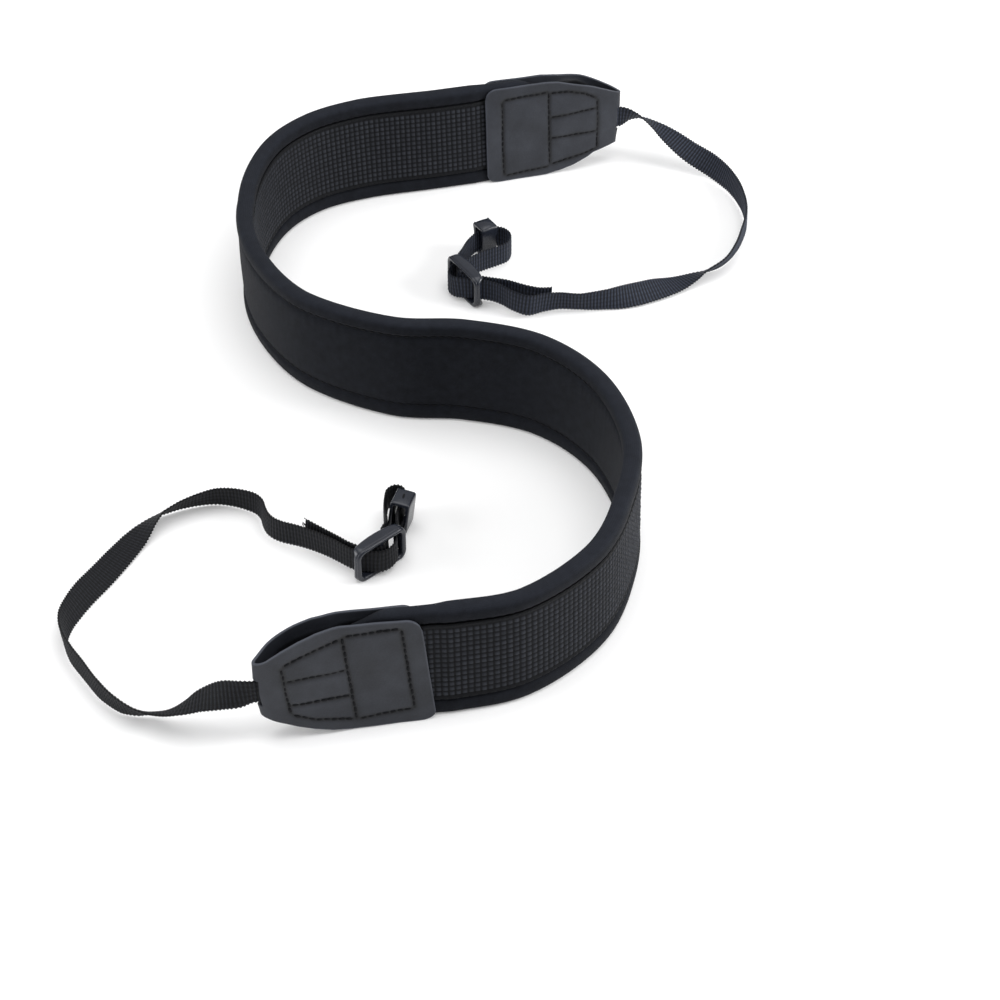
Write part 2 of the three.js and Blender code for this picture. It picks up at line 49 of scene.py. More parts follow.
# Neck band
PAD_HEIGHT = 52
PAD_HALF = 4
PAD_HALF_IN_TAB = 3
RIM_LOW = 7.1
RIM_HIGH = 6.7
PANEL_RECESS = 1.6
PANEL_PROUD = 0.2
CREASE_LOW = 7.8
CREASE_TOP = 6.8
PAD_START = 38.5
SQUEEZE_START = 70
SQUEEZE_END = 78
STITCH_PITCH = 3.8
STATION = STITCH_PITCH / 3
SPINE_STEPS = 1200
SEAM_PULL = 0.38
SWAY_WAVES = ((0.14, 23, 0), (0.1, 9.1, 1))  # size, length over 2 pi, phase
END_THIN = 0.3
END_LOW = 0.8
END_TAPER = (-2, 16)
# Painted highlight: the band is painted paler between these depths below its top, for light falling
# on it from above
TOP_HIGHLIGHT_DEPTH = (2.4, 0.4)

# Grip panel: raised cells between plain strips
COLUMN_PITCH = 2.6
CELL_PITCH = 2.45
CELL_RELIEF = 0.7
CELL_STEPS = 4
CELL_ACROSS = (0.05, 0.9, 1.0, 0.9)
CELL_UP = (0.15, 0.9, 1.0, 0.9)
CELL_WORN = (0.72, 1.0)  # least and most height of a cell
CELL_WANDER = 0.07
CELL_ROUGH = 0.05
PANEL_MARGIN = 0.3
PLAIN_STRIP = 1.9
# Painted level of the plain strips: paler than the painted shade at the seam edges, darker than the
# painted highlight on the cells
STRIP_SHADE_LEVEL = 0.18
STRIP_DEPTH = 0.12
SEAM_DIP = 0.3
SEAM_DIP_PLACE = 0.4
SEAM_DIP_WIDTH = 0.7

# Stitches along the band
DASH_HALF = 1.35
DASH_END_CLEAR = 32
PANEL_SEAM_INSET = 0.95
PANEL_DASH_SUNK = 0.42
CREASE_DASH_SUNK = 1.05

# Leather tabs
TAB_TAPER = 37
TAB_WALL = 1.2
TAB_OPEN = 4.9
TAB_NOSE = 18
TAB_CORNER = 6
GAP = 0.3
BULGE_PLACE = 17
BULGE_REACH = 11
FOLD_SAMPLES = 400
LEATHER_STEP = 0.8
LEATHER_COLUMNS = 60
EDGE_ROUND = 0.28
DENT = 0.42
DENT_WIDTH = 1.1

# Webbing, buckles and keepers
WEB_WIDTH = 11.6
WEB_THICK = 1.3
WEB_LOBES = 5
WEB_COLUMNS = 21
ROUTE_STEPS = 40  # for each row of a route
SLIT_Z = 24.4
SLIT_HEIGHT = WEB_WIDTH + 1.2
SLIT_REACH = 1.25
RIB_PITCH = 1.6
RIB_STEPS = 5
RIB_HALF_WIDTH = (WEB_WIDTH / 2 - 0.45, 0.52)  # between the ribs, added on a rib
RIB_HALF_THICK = (0.36, 0.33)
YARN_RADIUS = 0.24
BUCKLE_HEIGHT = 16.4
BUCKLE_FRONT = 2.3
BUCKLE_LENGTH = 27.4
BUCKLE_CORNER = 3.0
BUCKLE_BOW = (2.1, 2.3)  # depth behind the front at the ends, added in the middle
RAIL_INSET = (1.2, 1)  # middle of the rail inside the outline, lengthwise and upwards
BAR_WIDTH = 2.4
BAR_BACK = 1.2
BAR_FRONT = 1.4
THREAD_Z = BUCKLE_HEIGHT / 2
KEEPER_LENGTH = 9.8
KEEPER_HEIGHT = 16
KEEPER_THICK = 7.4
KEEPER_WALL = 1.1
KEEPER_CLEAR = 0.2
KEEPER_CORNER = 1.3
KEEPER_INNER_CORNER = 0.7
NUB_RADII = (0.5, 0.5, 0.6)

# Centreline of the band from above: x, y, and how far the top edge lies to the grip side.
SPINE_COLUMNS = ("x", "y", "lean")
SPINE = [
    (89.5, 214.5, 0), (53, 202.6, -4), (22, 193.6, -5), (-2, 187, -5), (-38, 177.8, -6),
    (-63, 165, -4.5), (-80, 143.5, -3), (-90, 96, -0.5), (-81, 53.3, -2.5), (-57.9, 18, -3),
    (-19.4, -3.6, -0.5), (13, -7, 0.5), (46.3, -18.3, 0.5), (72.4, -47.6, 0), (84.4, -90, -0.5),
    (80.3, -127.5, -1.5), (66.8, -161, -1), (38, -188.6, -1), (9.5, -197.8, -2.5),
    (-30, -206, -5), (-65.5, -214.5, 0),
]

# Where each slide buckle and keeper stands, with the direction of its length.
FAR_BUCKLE = {"x": 12.2, "y": 89.8, "along": (0.509, -0.861)}
NEAR_BUCKLE = {"x": -21.5, "y": -112.6, "along": (0.713, 0.701)}
FAR_KEEPER = {"x": 21.8, "y": 126.9, "along": (0.86, 0.51), "tilt": 0}
NEAR_KEEPER = {"x": -13, "y": -85.2, "along": (0.27, 0.963), "tilt": 7}


def beside(buckle, u, v, z=THREAD_Z):
    """A place beside a buckle: u runs along its length, v out of its face."""
    ax, ay = buckle["along"]
    return (buckle["x"] + u * ax + v * ay, buckle["y"] + u * ay - v * ax, z, 0)


# Webbing routes from inside the tab to the cut end: x, y, z and roll in degrees.
ROUTE_COLUMNS = ("x", "y", "z", "roll")
FAR_ROUTE = [
    (60, 205.2, 24.4, 0), (76, 210.4, 24.4, 0), (90.6, 214.7, 24.4, 0), (96.5, 216, 24, 38),
    (102, 216, 22.6, 62), (109, 214.2, 19, 79), (116, 210.8, 15, 98), (126, 204.2, 10, 120),
    (137.5, 195, 6.8, 150), (146, 180.5, 6.2, 169), (150.6, 163, 6.2, 179), (151, 147, 6.2, 181),
    (147, 130, 6.2, 176), (142.2, 117.6, 6.1, 163), (136.6, 109, 5.6, 148), (131.2, 105, 4.8, 137),
    (124.3, 102.3, 3.1, 115), (115.6, 97, 2.2, 90), (104.2, 88.8, 4.2, 60), (92.5, 82, 5.4, 40),
    (80.4, 77.2, 6.2, 4), (67, 75.2, 6.2, -14), (57.5, 75.6, 6.4, -11), (50, 73.4, 6.9, -6),
    (42.3, 70, 7.5, 0), (35, 73, THREAD_Z, 0), (30, 77.8, THREAD_Z, 0), (25.2, 80.8, THREAD_Z, 0),
    beside(FAR_BUCKLE, 9.2, -1.9), beside(FAR_BUCKLE, 6.4, 1.6), beside(FAR_BUCKLE, 3.6, 4.8, 8),
    beside(FAR_BUCKLE, 0, 6.4, 7.4), beside(FAR_BUCKLE, -3.8, 6.4, 7.2),
    beside(FAR_BUCKLE, -6.6, 4.8, 7.5), beside(FAR_BUCKLE, -8.4, 1.9, 8),
    beside(FAR_BUCKLE, -10, -1.6), beside(FAR_BUCKLE, -12.4, -2.4),
    beside(FAR_BUCKLE, -14.6, -5), beside(FAR_BUCKLE, -17.6, -9),
    (13.6, 117, THREAD_Z, 0), (17.2, 122.8, THREAD_Z, 0), (21.6, 126.4, THREAD_Z, 0),
    (26.2, 128.4, THREAD_Z, 0), (30.6, 127.4, THREAD_Z, 0), (33.4, 124, THREAD_Z, 0),
    (34, 119.8, THREAD_Z, 0), (32.4, 114.6, THREAD_Z, 0), (27.4, 110.8, THREAD_Z, 0),
    (20.8, 106.8, THREAD_Z, 0),
    beside(FAR_BUCKLE, -9.4, -9.6), beside(FAR_BUCKLE, -8, -5), beside(FAR_BUCKLE, -5.4, -1),
    beside(FAR_BUCKLE, -2.8, 1.8), beside(FAR_BUCKLE, 0, 2.5), beside(FAR_BUCKLE, 2.8, 1.4),
    beside(FAR_BUCKLE, 5.2, -1.2), beside(FAR_BUCKLE, 7.4, -4.2),
    (24, 84.5, THREAD_Z, 0), (32.2, 82.4, 8.2, 0), (41.8, 78.4, 7.8, 0), (47.6, 77.4, 7.2, 0),
    (53.5, 77.8, 6.9, -3),
]
NEAR_ROUTE = [
    (-36, -207.6, 24.4, 0), (-52, -211.4, 24.4, 0), (-66.8, -214.8, 24.4, 0), (-72, -215.6, 24, 20),
    (-78.5, -214.7, 22.6, 42), (-86.5, -213, 18.8, 73), (-94, -212, 14, 97),
    (-101, -210.2, 9.5, 115), (-107.5, -207.8, 6.6, 129), (-114, -206.2, 5.8, 147),
    (-120.8, -203, 6.1, 165), (-129.6, -194.2, 6.2, 176), (-137.8, -182, 6.2, 179),
    (-144.2, -172, 6.2, 179), (-148.2, -162, 6.1, 172), (-148.6, -152.5, 5.8, 156),
    (-146.6, -143.8, 5.2, 146), (-143.1, -134, 4.6, 134), (-137.7, -121.8, 3.4, 118),
    (-132.1, -109, 2.6, 107), (-126.9, -97, 2, 92), (-121.8, -88.2, 3.6, 64),
    (-117.2, -83.1, 4.9, 47), (-113, -80.2, 5.4, 38), (-108.4, -77.4, 5.8, 32), (-101, -74, 6, 23),
    (-94, -72.1, 6.1, 14), (-86.7, -72.7, 6.2, 7), (-80.2, -74.8, 6.2, 1), (-76, -77.2, 6.2, -2),
    (-73.2, -81, 6.2, -4), (-71.8, -86, 6.2, -5), (-70, -90.4, 6.2, -5), (-67.2, -93.8, 6.3, -4),
    (-63.4, -96.4, 6.5, -3), (-57.4, -99.2, 7, -2), (-51.3, -102.6, 7.5, 0), (-46, -106.2, 8, 0),
    (-41, -109.8, THREAD_Z, 0), (-37, -113, THREAD_Z, 0), (-33.2, -115.8, THREAD_Z, 0),
    beside(NEAR_BUCKLE, -9, -2), beside(NEAR_BUCKLE, -6.2, 1.2), beside(NEAR_BUCKLE, -3.4, 3.9, 8),
    beside(NEAR_BUCKLE, 0, 4.9, 7.9), beside(NEAR_BUCKLE, 3.6, 4.5, 8), beside(NEAR_BUCKLE, 6.8, 3),
    beside(NEAR_BUCKLE, 8.8, 0.5), beside(NEAR_BUCKLE, 10.4, -1.9), beside(NEAR_BUCKLE, 12.6, -2.4),
    beside(NEAR_BUCKLE, 14.8, -4.8),
    (-14.8, -96.6, THREAD_Z, 0), (-14.4, -89, THREAD_Z, 0), (-12.8, -82, THREAD_Z, 0),
    (-11.9, -77.6, THREAD_Z, 0), (-13.2, -74.4, THREAD_Z, 0), (-16.2, -73.6, THREAD_Z, 0),
    (-19.2, -76, THREAD_Z, 0), (-20, -80.6, THREAD_Z, 0), (-20.1, -88.4, THREAD_Z, 0),
    (-19.1, -97, THREAD_Z, 0),
    beside(NEAR_BUCKLE, 7.2, -6.4), beside(NEAR_BUCKLE, 5.4, -1.6), beside(NEAR_BUCKLE, 2.8, 1.7),
    beside(NEAR_BUCKLE, 0, 2.5), beside(NEAR_BUCKLE, -2.8, 1.4), beside(NEAR_BUCKLE, -5.2, -1.2),
    beside(NEAR_BUCKLE, -7, -4.4),
    (-34.2, -111.8, THREAD_Z, 0), (-39.6, -107.4, THREAD_Z, 0), (-45, -103.4, 8.4, 0),
    (-53.4, -98, 9.6, 0),
]

# Edges of the leather: distance from the fold, lower edge, upper edge of the grip-side
# flap and of the other flap.
EDGE_COLUMNS = ("s", "low", "front", "back")
FAR_EDGES = [
    (0, 10.8, 39.5, 39.5), (3, 11, 41, 41), (8, 10.2, 43.4, 43), (14.8, 8.6, 46.2, 45.6),
    (18, 6.8, 47.2, 46.7), (25.5, 3.6, 49, 48.8), (33, 1.4, 50.8, 50.6), (40, 0.4, 51.4, 51.4),
    (71, 0.2, 51, 51.4),
]
NEAR_EDGES = [
    (0, 12.6, 39.5, 39.5), (2, 11.6, 39.8, 40.2), (5, 9.9, 40.8, 41.4), (12.5, 6.6, 44.6, 44.6),
    (20, 3.8, 47.6, 47.2), (27, 1.7, 49.4, 49.4), (34, 0.5, 49.9, 50.4), (68, 0.1, 49.8, 50.8),
]

# Stitch lines on the flaps: distance from the fold and height, end to end.
FAR_SEWING = [
    [(62.3, 3.9), (62.3, 43.4)],
    [(61, 44.6), (39, 45.8)],
    [(38, 45.4), (38, 6.2)],
    [(39.2, 4.6), (61, 3)],
    [(36.6, 45.2), (28, 45.2), (20, 43.4), (14, 40)],
    [(12.9, 38.4), (12.5, 11.4)],
    [(13.8, 10.6), (20, 9), (36.8, 5.6)],
    [(13.8, 34), (36.8, 31.6)],
    [(13.8, 21), (36.8, 20.2)],
]
NEAR_SEWING = [
    [(60, 7.2), (60, 45.6)],
    [(58.8, 46.2), (38, 45)],
    [(36.7, 44.2), (36.7, 5)],
    [(38, 5), (58.8, 6.6)],
    [(35.4, 43.8), (26, 42.2), (18, 39.8), (12.6, 37.8)],
    [(11.3, 36.4), (11.3, 13.6)],
    [(12.4, 12.2), (20, 8.6), (35.4, 5.2)],
    [(12.3, 29.8), (35.6, 29.2)],
    [(12.3, 17.4), (35.6, 16.8)],
]


def column(rows, names, name):
    """One named column of a table."""
    place = names.index(name)
    return [row[place] for row in rows]


def lerp(a, b, t):
    return a + (b - a) * t


def smoothstep(x, low, high):
    t = np.clip((x - low) / (high - low), 0, 1)
    return t * t * (3 - 2 * t)


class Curve:
    """Centripetal curve through points."""

    def __init__(self, points):
        pts = np.array(points, float)
        first = 2 * pts[0] - pts[1]
        last = 2 * pts[-1] - pts[-2]
        self.pts = np.vstack([first, pts, last])
        self.spans = len(pts) - 1

    def at(self, t):
        """Points at shares 0 to 1 of the spans."""
        share = np.clip(t, 0, 1) * self.spans
        i = np.minimum(share.astype(int), self.spans - 1)
        w = (share - i)[:, None]
        x0, x1, x2, x3 = (self.pts[i + k] for k in range(4))
        dt0, dt1, dt2 = (np.maximum(np.sum(d * d, axis=1) ** 0.25, 1e-4)[:, None]
                         for d in (x1 - x0, x2 - x1, x3 - x2))
        m1 = ((x1 - x0) / dt0 - (x2 - x0) / (dt0 + dt1) + (x2 - x1) / dt1) * dt1
        m2 = ((x2 - x1) / dt1 - (x3 - x1) / (dt1 + dt2) + (x3 - x2) / dt2) * dt1
        c2 = -3 * x1 + 3 * x2 - 2 * m1 - m2
        c3 = 2 * x1 - 2 * x2 + m1 + m2
        return x1 + m1 * w + c2 * w * w + c3 * w ** 3

    def table(self, steps):
        """Shares, their points and the length run up to each."""
        ts = np.linspace(0, 1, steps + 1)
        places = self.at(ts)
        gaps = np.linalg.norm(np.diff(places, axis=0), axis=1)
        return ts, places, np.concatenate([[0], np.cumsum(gaps)])


@functools.cache
def drawn(points, steps):
    """The curve through points, with its table."""
    curve = Curve(points)
    return curve, *curve.table(steps)


def along_curve(points, steps, distances):
    """Places, tangents and row numbers at distances along the curve."""
    curve, ts, places, run = drawn(tuple(points), steps)
    where = np.interp(distances, run, ts)
    place = np.array([np.interp(distances, run, places[:, k]) for k in range(3)]).T
    tangent = curve.at(where + 1e-4) - curve.at(where - 1e-4)
    tangent /= np.linalg.norm(tangent, axis=1)[:, None]
    return place, tangent, where * (len(points) - 1)


def curve_length(points, steps):
    return drawn(tuple(points), steps)[3][-1]


SPINE_POINTS = [(x, y, 0) for x, y in zip(column(SPINE, SPINE_COLUMNS, "x"),
                                          column(SPINE, SPINE_COLUMNS, "y"))]
SPINE_LEANS = column(SPINE, SPINE_COLUMNS, "lean")
SPINE_LENGTH = curve_length(SPINE_POINTS, SPINE_STEPS)


def spine_at(distances):
    """Places, tangents, grip-side normals and leans of the band."""
    place, tangent, row = along_curve(SPINE_POINTS, SPINE_STEPS, np.atleast_1d(distances))
    lean = np.interp(row, range(len(SPINE)), SPINE_LEANS)
    normal = np.stack([-tangent[:, 1], tangent[:, 0], np.zeros(len(tangent))], axis=1)
    return place, tangent, normal, lean


def band_points(at, offset, height):
    """Points of the band: stations by section, offset to the grip side, in millimetres."""
    place, _, normal, lean = at
    shift = offset + lean[:, None] * height / PAD_HEIGHT
    points = place[:, None, :] + normal[:, None, :] * shift[:, :, None]
    points[:, :, 2] = height
    return points


def stitch_pull(run):
    """How hard the seams pull: full at each stitch hole, none between."""
    return 0.5 + 0.5 * np.cos(2 * math.pi * run / STITCH_PITCH)


def pad_half(distance):
    """Half the band's thickness, squeezed inside the tabs."""
    fold = np.minimum(distance, SPINE_LENGTH - distance)
    return lerp(PAD_HALF_IN_TAB, PAD_HALF, smoothstep(fold, SQUEEZE_START, SQUEEZE_END))


def build(name, verts, faces, uvs=None, values=None):
    """A smooth-shaded mesh object from millimetre points."""
    mesh = bpy.data.meshes.new(name)
    mesh.from_pydata((np.asarray(verts) * MM).tolist(), [], faces)
    if uvs is not None:
        loops = np.empty(len(mesh.loops), int)
        mesh.loops.foreach_get("vertex_index", loops)
        layer = mesh.uv_layers.new(name="run")
        layer.data.foreach_set("uv", np.asarray(uvs)[loops].astype(np.float32).ravel())
    if values is not None:
        # Painted light: these values become highlights and shade in the finishes' colours.
        painted_light = mesh.attributes.new("relief_and_shade", "FLOAT", "POINT")
        painted_light.data.foreach_set("value", np.asarray(values, np.float32).ravel())
    bm = bmesh.new()
    bm.from_mesh(mesh)
    bmesh.ops.recalc_face_normals(bm, faces=bm.faces)
    bm.to_mesh(mesh)
    bm.free()
    mesh.polygons.foreach_set("use_smooth", [True] * len(mesh.polygons))
    obj = bpy.data.objects.new(name, mesh)
    bpy.context.scene.collection.objects.link(obj)
    return obj


def tube_faces(rings, sides):
    """Faces of a closed tube of rings with a cap at each end."""
    faces = []
    for i in range(rings - 1):
        for j in range(sides):
            a = i * sides + j
            b = i * sides + (j + 1) % sides
            faces.append((a, b, b + sides, a + sides))
    faces.append(tuple(range(sides)))
    faces.append(tuple((rings - 1) * sides + j for j in range(sides)))
    return faces


def corner_cut(section):
    """One pass of corner cutting round a closed section."""
    after = np.roll(section, -1, axis=0)
    cut = np.stack([lerp(section, after, 0.25), lerp(section, after, 0.75)], axis=1)
    return cut.reshape(-1, section.shape[1])


def pad_section(half):
    """Offset, height and weight of the seam's pull for the band's section."""
    top = PAD_HEIGHT
    bed = half - PANEL_RECESS
    crease = -half + 1.1
    return np.array([
        (0.30 * half, 0, 0), (0.78 * half, 0.5, 0), (half, 2.0, 0), (half + 0.12, 3.6, 0),
        (half, 5.2, 0), (half - 0.35, RIM_LOW - 0.8, 0.4), (half - 1.2, RIM_LOW - 0.1, 1),
        (bed, RIM_LOW + 0.3, 1), (bed, RIM_LOW + 1.8, 0.2), (bed, 20, 0),
        (bed, 32, 0), (bed, top - RIM_HIGH - 1.8, 0.2), (bed, top - RIM_HIGH - 0.3, 1),
        (half - 1.2, top - RIM_HIGH + 0.1, 1), (half - 0.35, top - RIM_HIGH + 0.8, 0.4),
        (half, top - 4.9, 0), (half + 0.12, top - 3.4, 0), (half, top - 2.0, 0),
        (0.78 * half, top - 0.5, 0), (0.30 * half, top, 0), (-0.30 * half, top, 0),
        (-0.78 * half, top - 0.5, 0), (-half, top - 2.0, 0), (-half - 0.1, top - 4.6, 0),
        (-half, top - CREASE_TOP + 1.6, -0.3), (crease, top - CREASE_TOP + 0.3, -1),
        (crease, top - CREASE_TOP - 0.3, -1), (-half + 0.25, top - CREASE_TOP - 1.7, -0.3),
        (-half, 32, 0), (-half - 0.1, 26, 0), (-half, 20, 0),
        (-half + 0.25, CREASE_LOW + 1.7, -0.3), (crease, CREASE_LOW + 0.3, -1),
        (crease, CREASE_LOW - 0.3, -1), (-half, CREASE_LOW - 1.6, -0.3),
        (-half - 0.1, 4.6, 0), (-half, 2.0, 0), (-0.78 * half, 0.5, 0), (-0.30 * half, 0, 0),
    ])


def neck_pad():
    """The band's cover: pulled in along its seams, thin at its ends inside the tabs."""
    start, end = PAD_START, SPINE_LENGTH - PAD_START
    run = np.arange(start, end, STATION)
    sections = np.array([corner_cut(pad_section(half)) for half in pad_half(run)])
    height = sections[:, :, 1].copy()
    offset = sections[:, :, 0] - sections[:, :, 2] * SEAM_PULL * stitch_pull(run)[:, None]
    sway = sum(size * np.sin(run / length + phase) for size, length, phase in SWAY_WAVES)
    rim = smoothstep(np.abs(height - PAD_HEIGHT / 2), 15, 24)
    offset += rim * sway[:, None]
    inside = smoothstep(np.minimum(run - start, end - run), *END_TAPER)[:, None]
    offset *= lerp(END_THIN, 1, inside)
    height = PAD_HEIGHT / 2 + (height - PAD_HEIGHT / 2) * lerp(END_LOW, 1, inside)
    points = band_points(spine_at(run), offset, height)
    steps = np.linalg.norm(np.diff(sections[0, :, :2], axis=0), axis=1)
    around = np.concatenate([[0], np.cumsum(steps)])
    uvs = np.stack(np.broadcast_arrays(run[:, None], around[None, :]), axis=2)
    # Painted highlight: the top of the band is painted paler, where light from above falls on it.
    painted_top_highlight = smoothstep(height, *(PAD_HEIGHT - depth for depth in TOP_HIGHLIGHT_DEPTH))
    return build("pad_cover", points.reshape(-1, 3), tube_faces(len(run), sections.shape[1]),
                 uvs.reshape(-1, 2), painted_top_highlight.reshape(-1))


def grip_panel():
    """The textured strip: a grid of raised cells with a plain strip along each seam."""
    start, end = PAD_START + 1, SPINE_LENGTH - PAD_START - 1
    columns = int((end - start) / COLUMN_PITCH)
    run = start + np.arange(CELL_STEPS * columns + 1) * COLUMN_PITCH / CELL_STEPS
    low, high = RIM_LOW + PANEL_MARGIN, PAD_HEIGHT - RIM_HIGH - PANEL_MARGIN
    cells_low, cells_high = low + PLAIN_STRIP, high - PLAIN_STRIP
    rows = int(round((cells_high - cells_low) / CELL_PITCH))
    pitch = (cells_high - cells_low) / rows
    up = np.arange(CELL_STEPS * rows + 1)
    edge_rise = np.array([0, 0, 0.35, 1.2])
    edge_depth = np.array([1.1, 0.5, STRIP_DEPTH, STRIP_DEPTH])
    heights = np.concatenate([
        low + edge_rise, cells_low + up * pitch / CELL_STEPS, (high - edge_rise)[::-1],
    ])
    no_cells = np.zeros(len(edge_rise), int)
    is_cell = np.concatenate([no_cells, np.ones(len(up)), no_cells])
    depth = np.concatenate([edge_depth, np.zeros(len(up)), edge_depth[::-1]])
    across = np.arange(len(run))
    top_across = np.array(CELL_ACROSS)[across % CELL_STEPS]
    top_up = np.concatenate([no_cells, np.array(CELL_UP)[up % CELL_STEPS], no_cells])
    # Cell heights. The same values paint the cell tops paler as a highlight and the gaps dark as
    # shade, with lower cells a little darker.
    relief_and_shade = top_across[:, None] * top_up[None, :] * is_cell[None, :]
    edge = smoothstep(np.minimum(heights - cells_low, cells_high - heights), 0, 1.5 * pitch)
    jitter = np.random.RandomState(3)
    worn = jitter.uniform(*CELL_WORN, (columns + 1, rows + 1))
    cell_row = np.concatenate([no_cells, up // CELL_STEPS, no_cells + rows])
    relief_and_shade = relief_and_shade * worn[across[:, None] // CELL_STEPS, cell_row[None, :]]
    wander = jitter.uniform(-CELL_WANDER, CELL_WANDER, relief_and_shade.shape) * (is_cell * edge)[None, :]
    height = heights[None, :] + wander
    face = pad_half(run) - PANEL_PROUD + STRIP_DEPTH
    seam = sum(np.exp(-((heights - line) / SEAM_DIP_WIDTH) ** 2)
               for line in (low + SEAM_DIP_PLACE, high - SEAM_DIP_PLACE))
    offset = face[:, None] - depth[None, :] - (1 - relief_and_shade) * CELL_RELIEF * is_cell[None, :]
    offset -= SEAM_DIP * stitch_pull(run)[:, None] * seam[None, :] * (depth < 1)[None, :]
    offset += jitter.uniform(-CELL_ROUGH, CELL_ROUGH, offset.shape) * relief_and_shade
    points = band_points(spine_at(run), offset, height)
    uvs = np.stack(np.broadcast_arrays(run[:, None], heights[None, :]), axis=2)
    # Painted shade: the plain strips get a middle level, while the deeper rows at the seam edges
    # stay darkest.
    strip = (1 - is_cell)[None, :] * STRIP_SHADE_LEVEL * (depth < 0.4)[None, :]
    return build("grip_face", points.reshape(-1, 3), tube_faces(len(run), len(heights)),
                 uvs.reshape(-1, 2), np.maximum(relief_and_shade, strip).reshape(-1))


def flap_offset(s, side, bulge):
    """How far a flap's middle stands from the band's middle."""
    closed = WEB_THICK / 2 + 0.5 + TAB_WALL / 2
    opened = TAB_OPEN - TAB_WALL / 2
    on_pad = PAD_HALF_IN_TAB + GAP + TAB_WALL / 2
    nose = np.minimum(s / TAB_NOSE, 1)
    rounded = np.sqrt(1 - (1 - nose) ** 2)
    settle = smoothstep(s, TAB_TAPER * 0.7, TAB_TAPER)
    base = np.maximum(lerp(opened * rounded, on_pad, settle), closed * rounded ** 0.5)
    swell = bulge * np.exp(-((s - BULGE_PLACE) / BULGE_REACH) ** 2) * smoothstep(s, 0, 5)
    return base + np.where(side < 0, swell, 0)


def segment_distance(s, z, a, b):
    """Distance of points (s, z) from the line between a and b."""
    d = np.array(b) - np.array(a)
    t = np.clip(((s - a[0]) * d[0] + (z - a[1]) * d[1]) / (d @ d), 0, 1)
    return np.hypot(s - a[0] - t * d[0], z - a[1] - t * d[1])


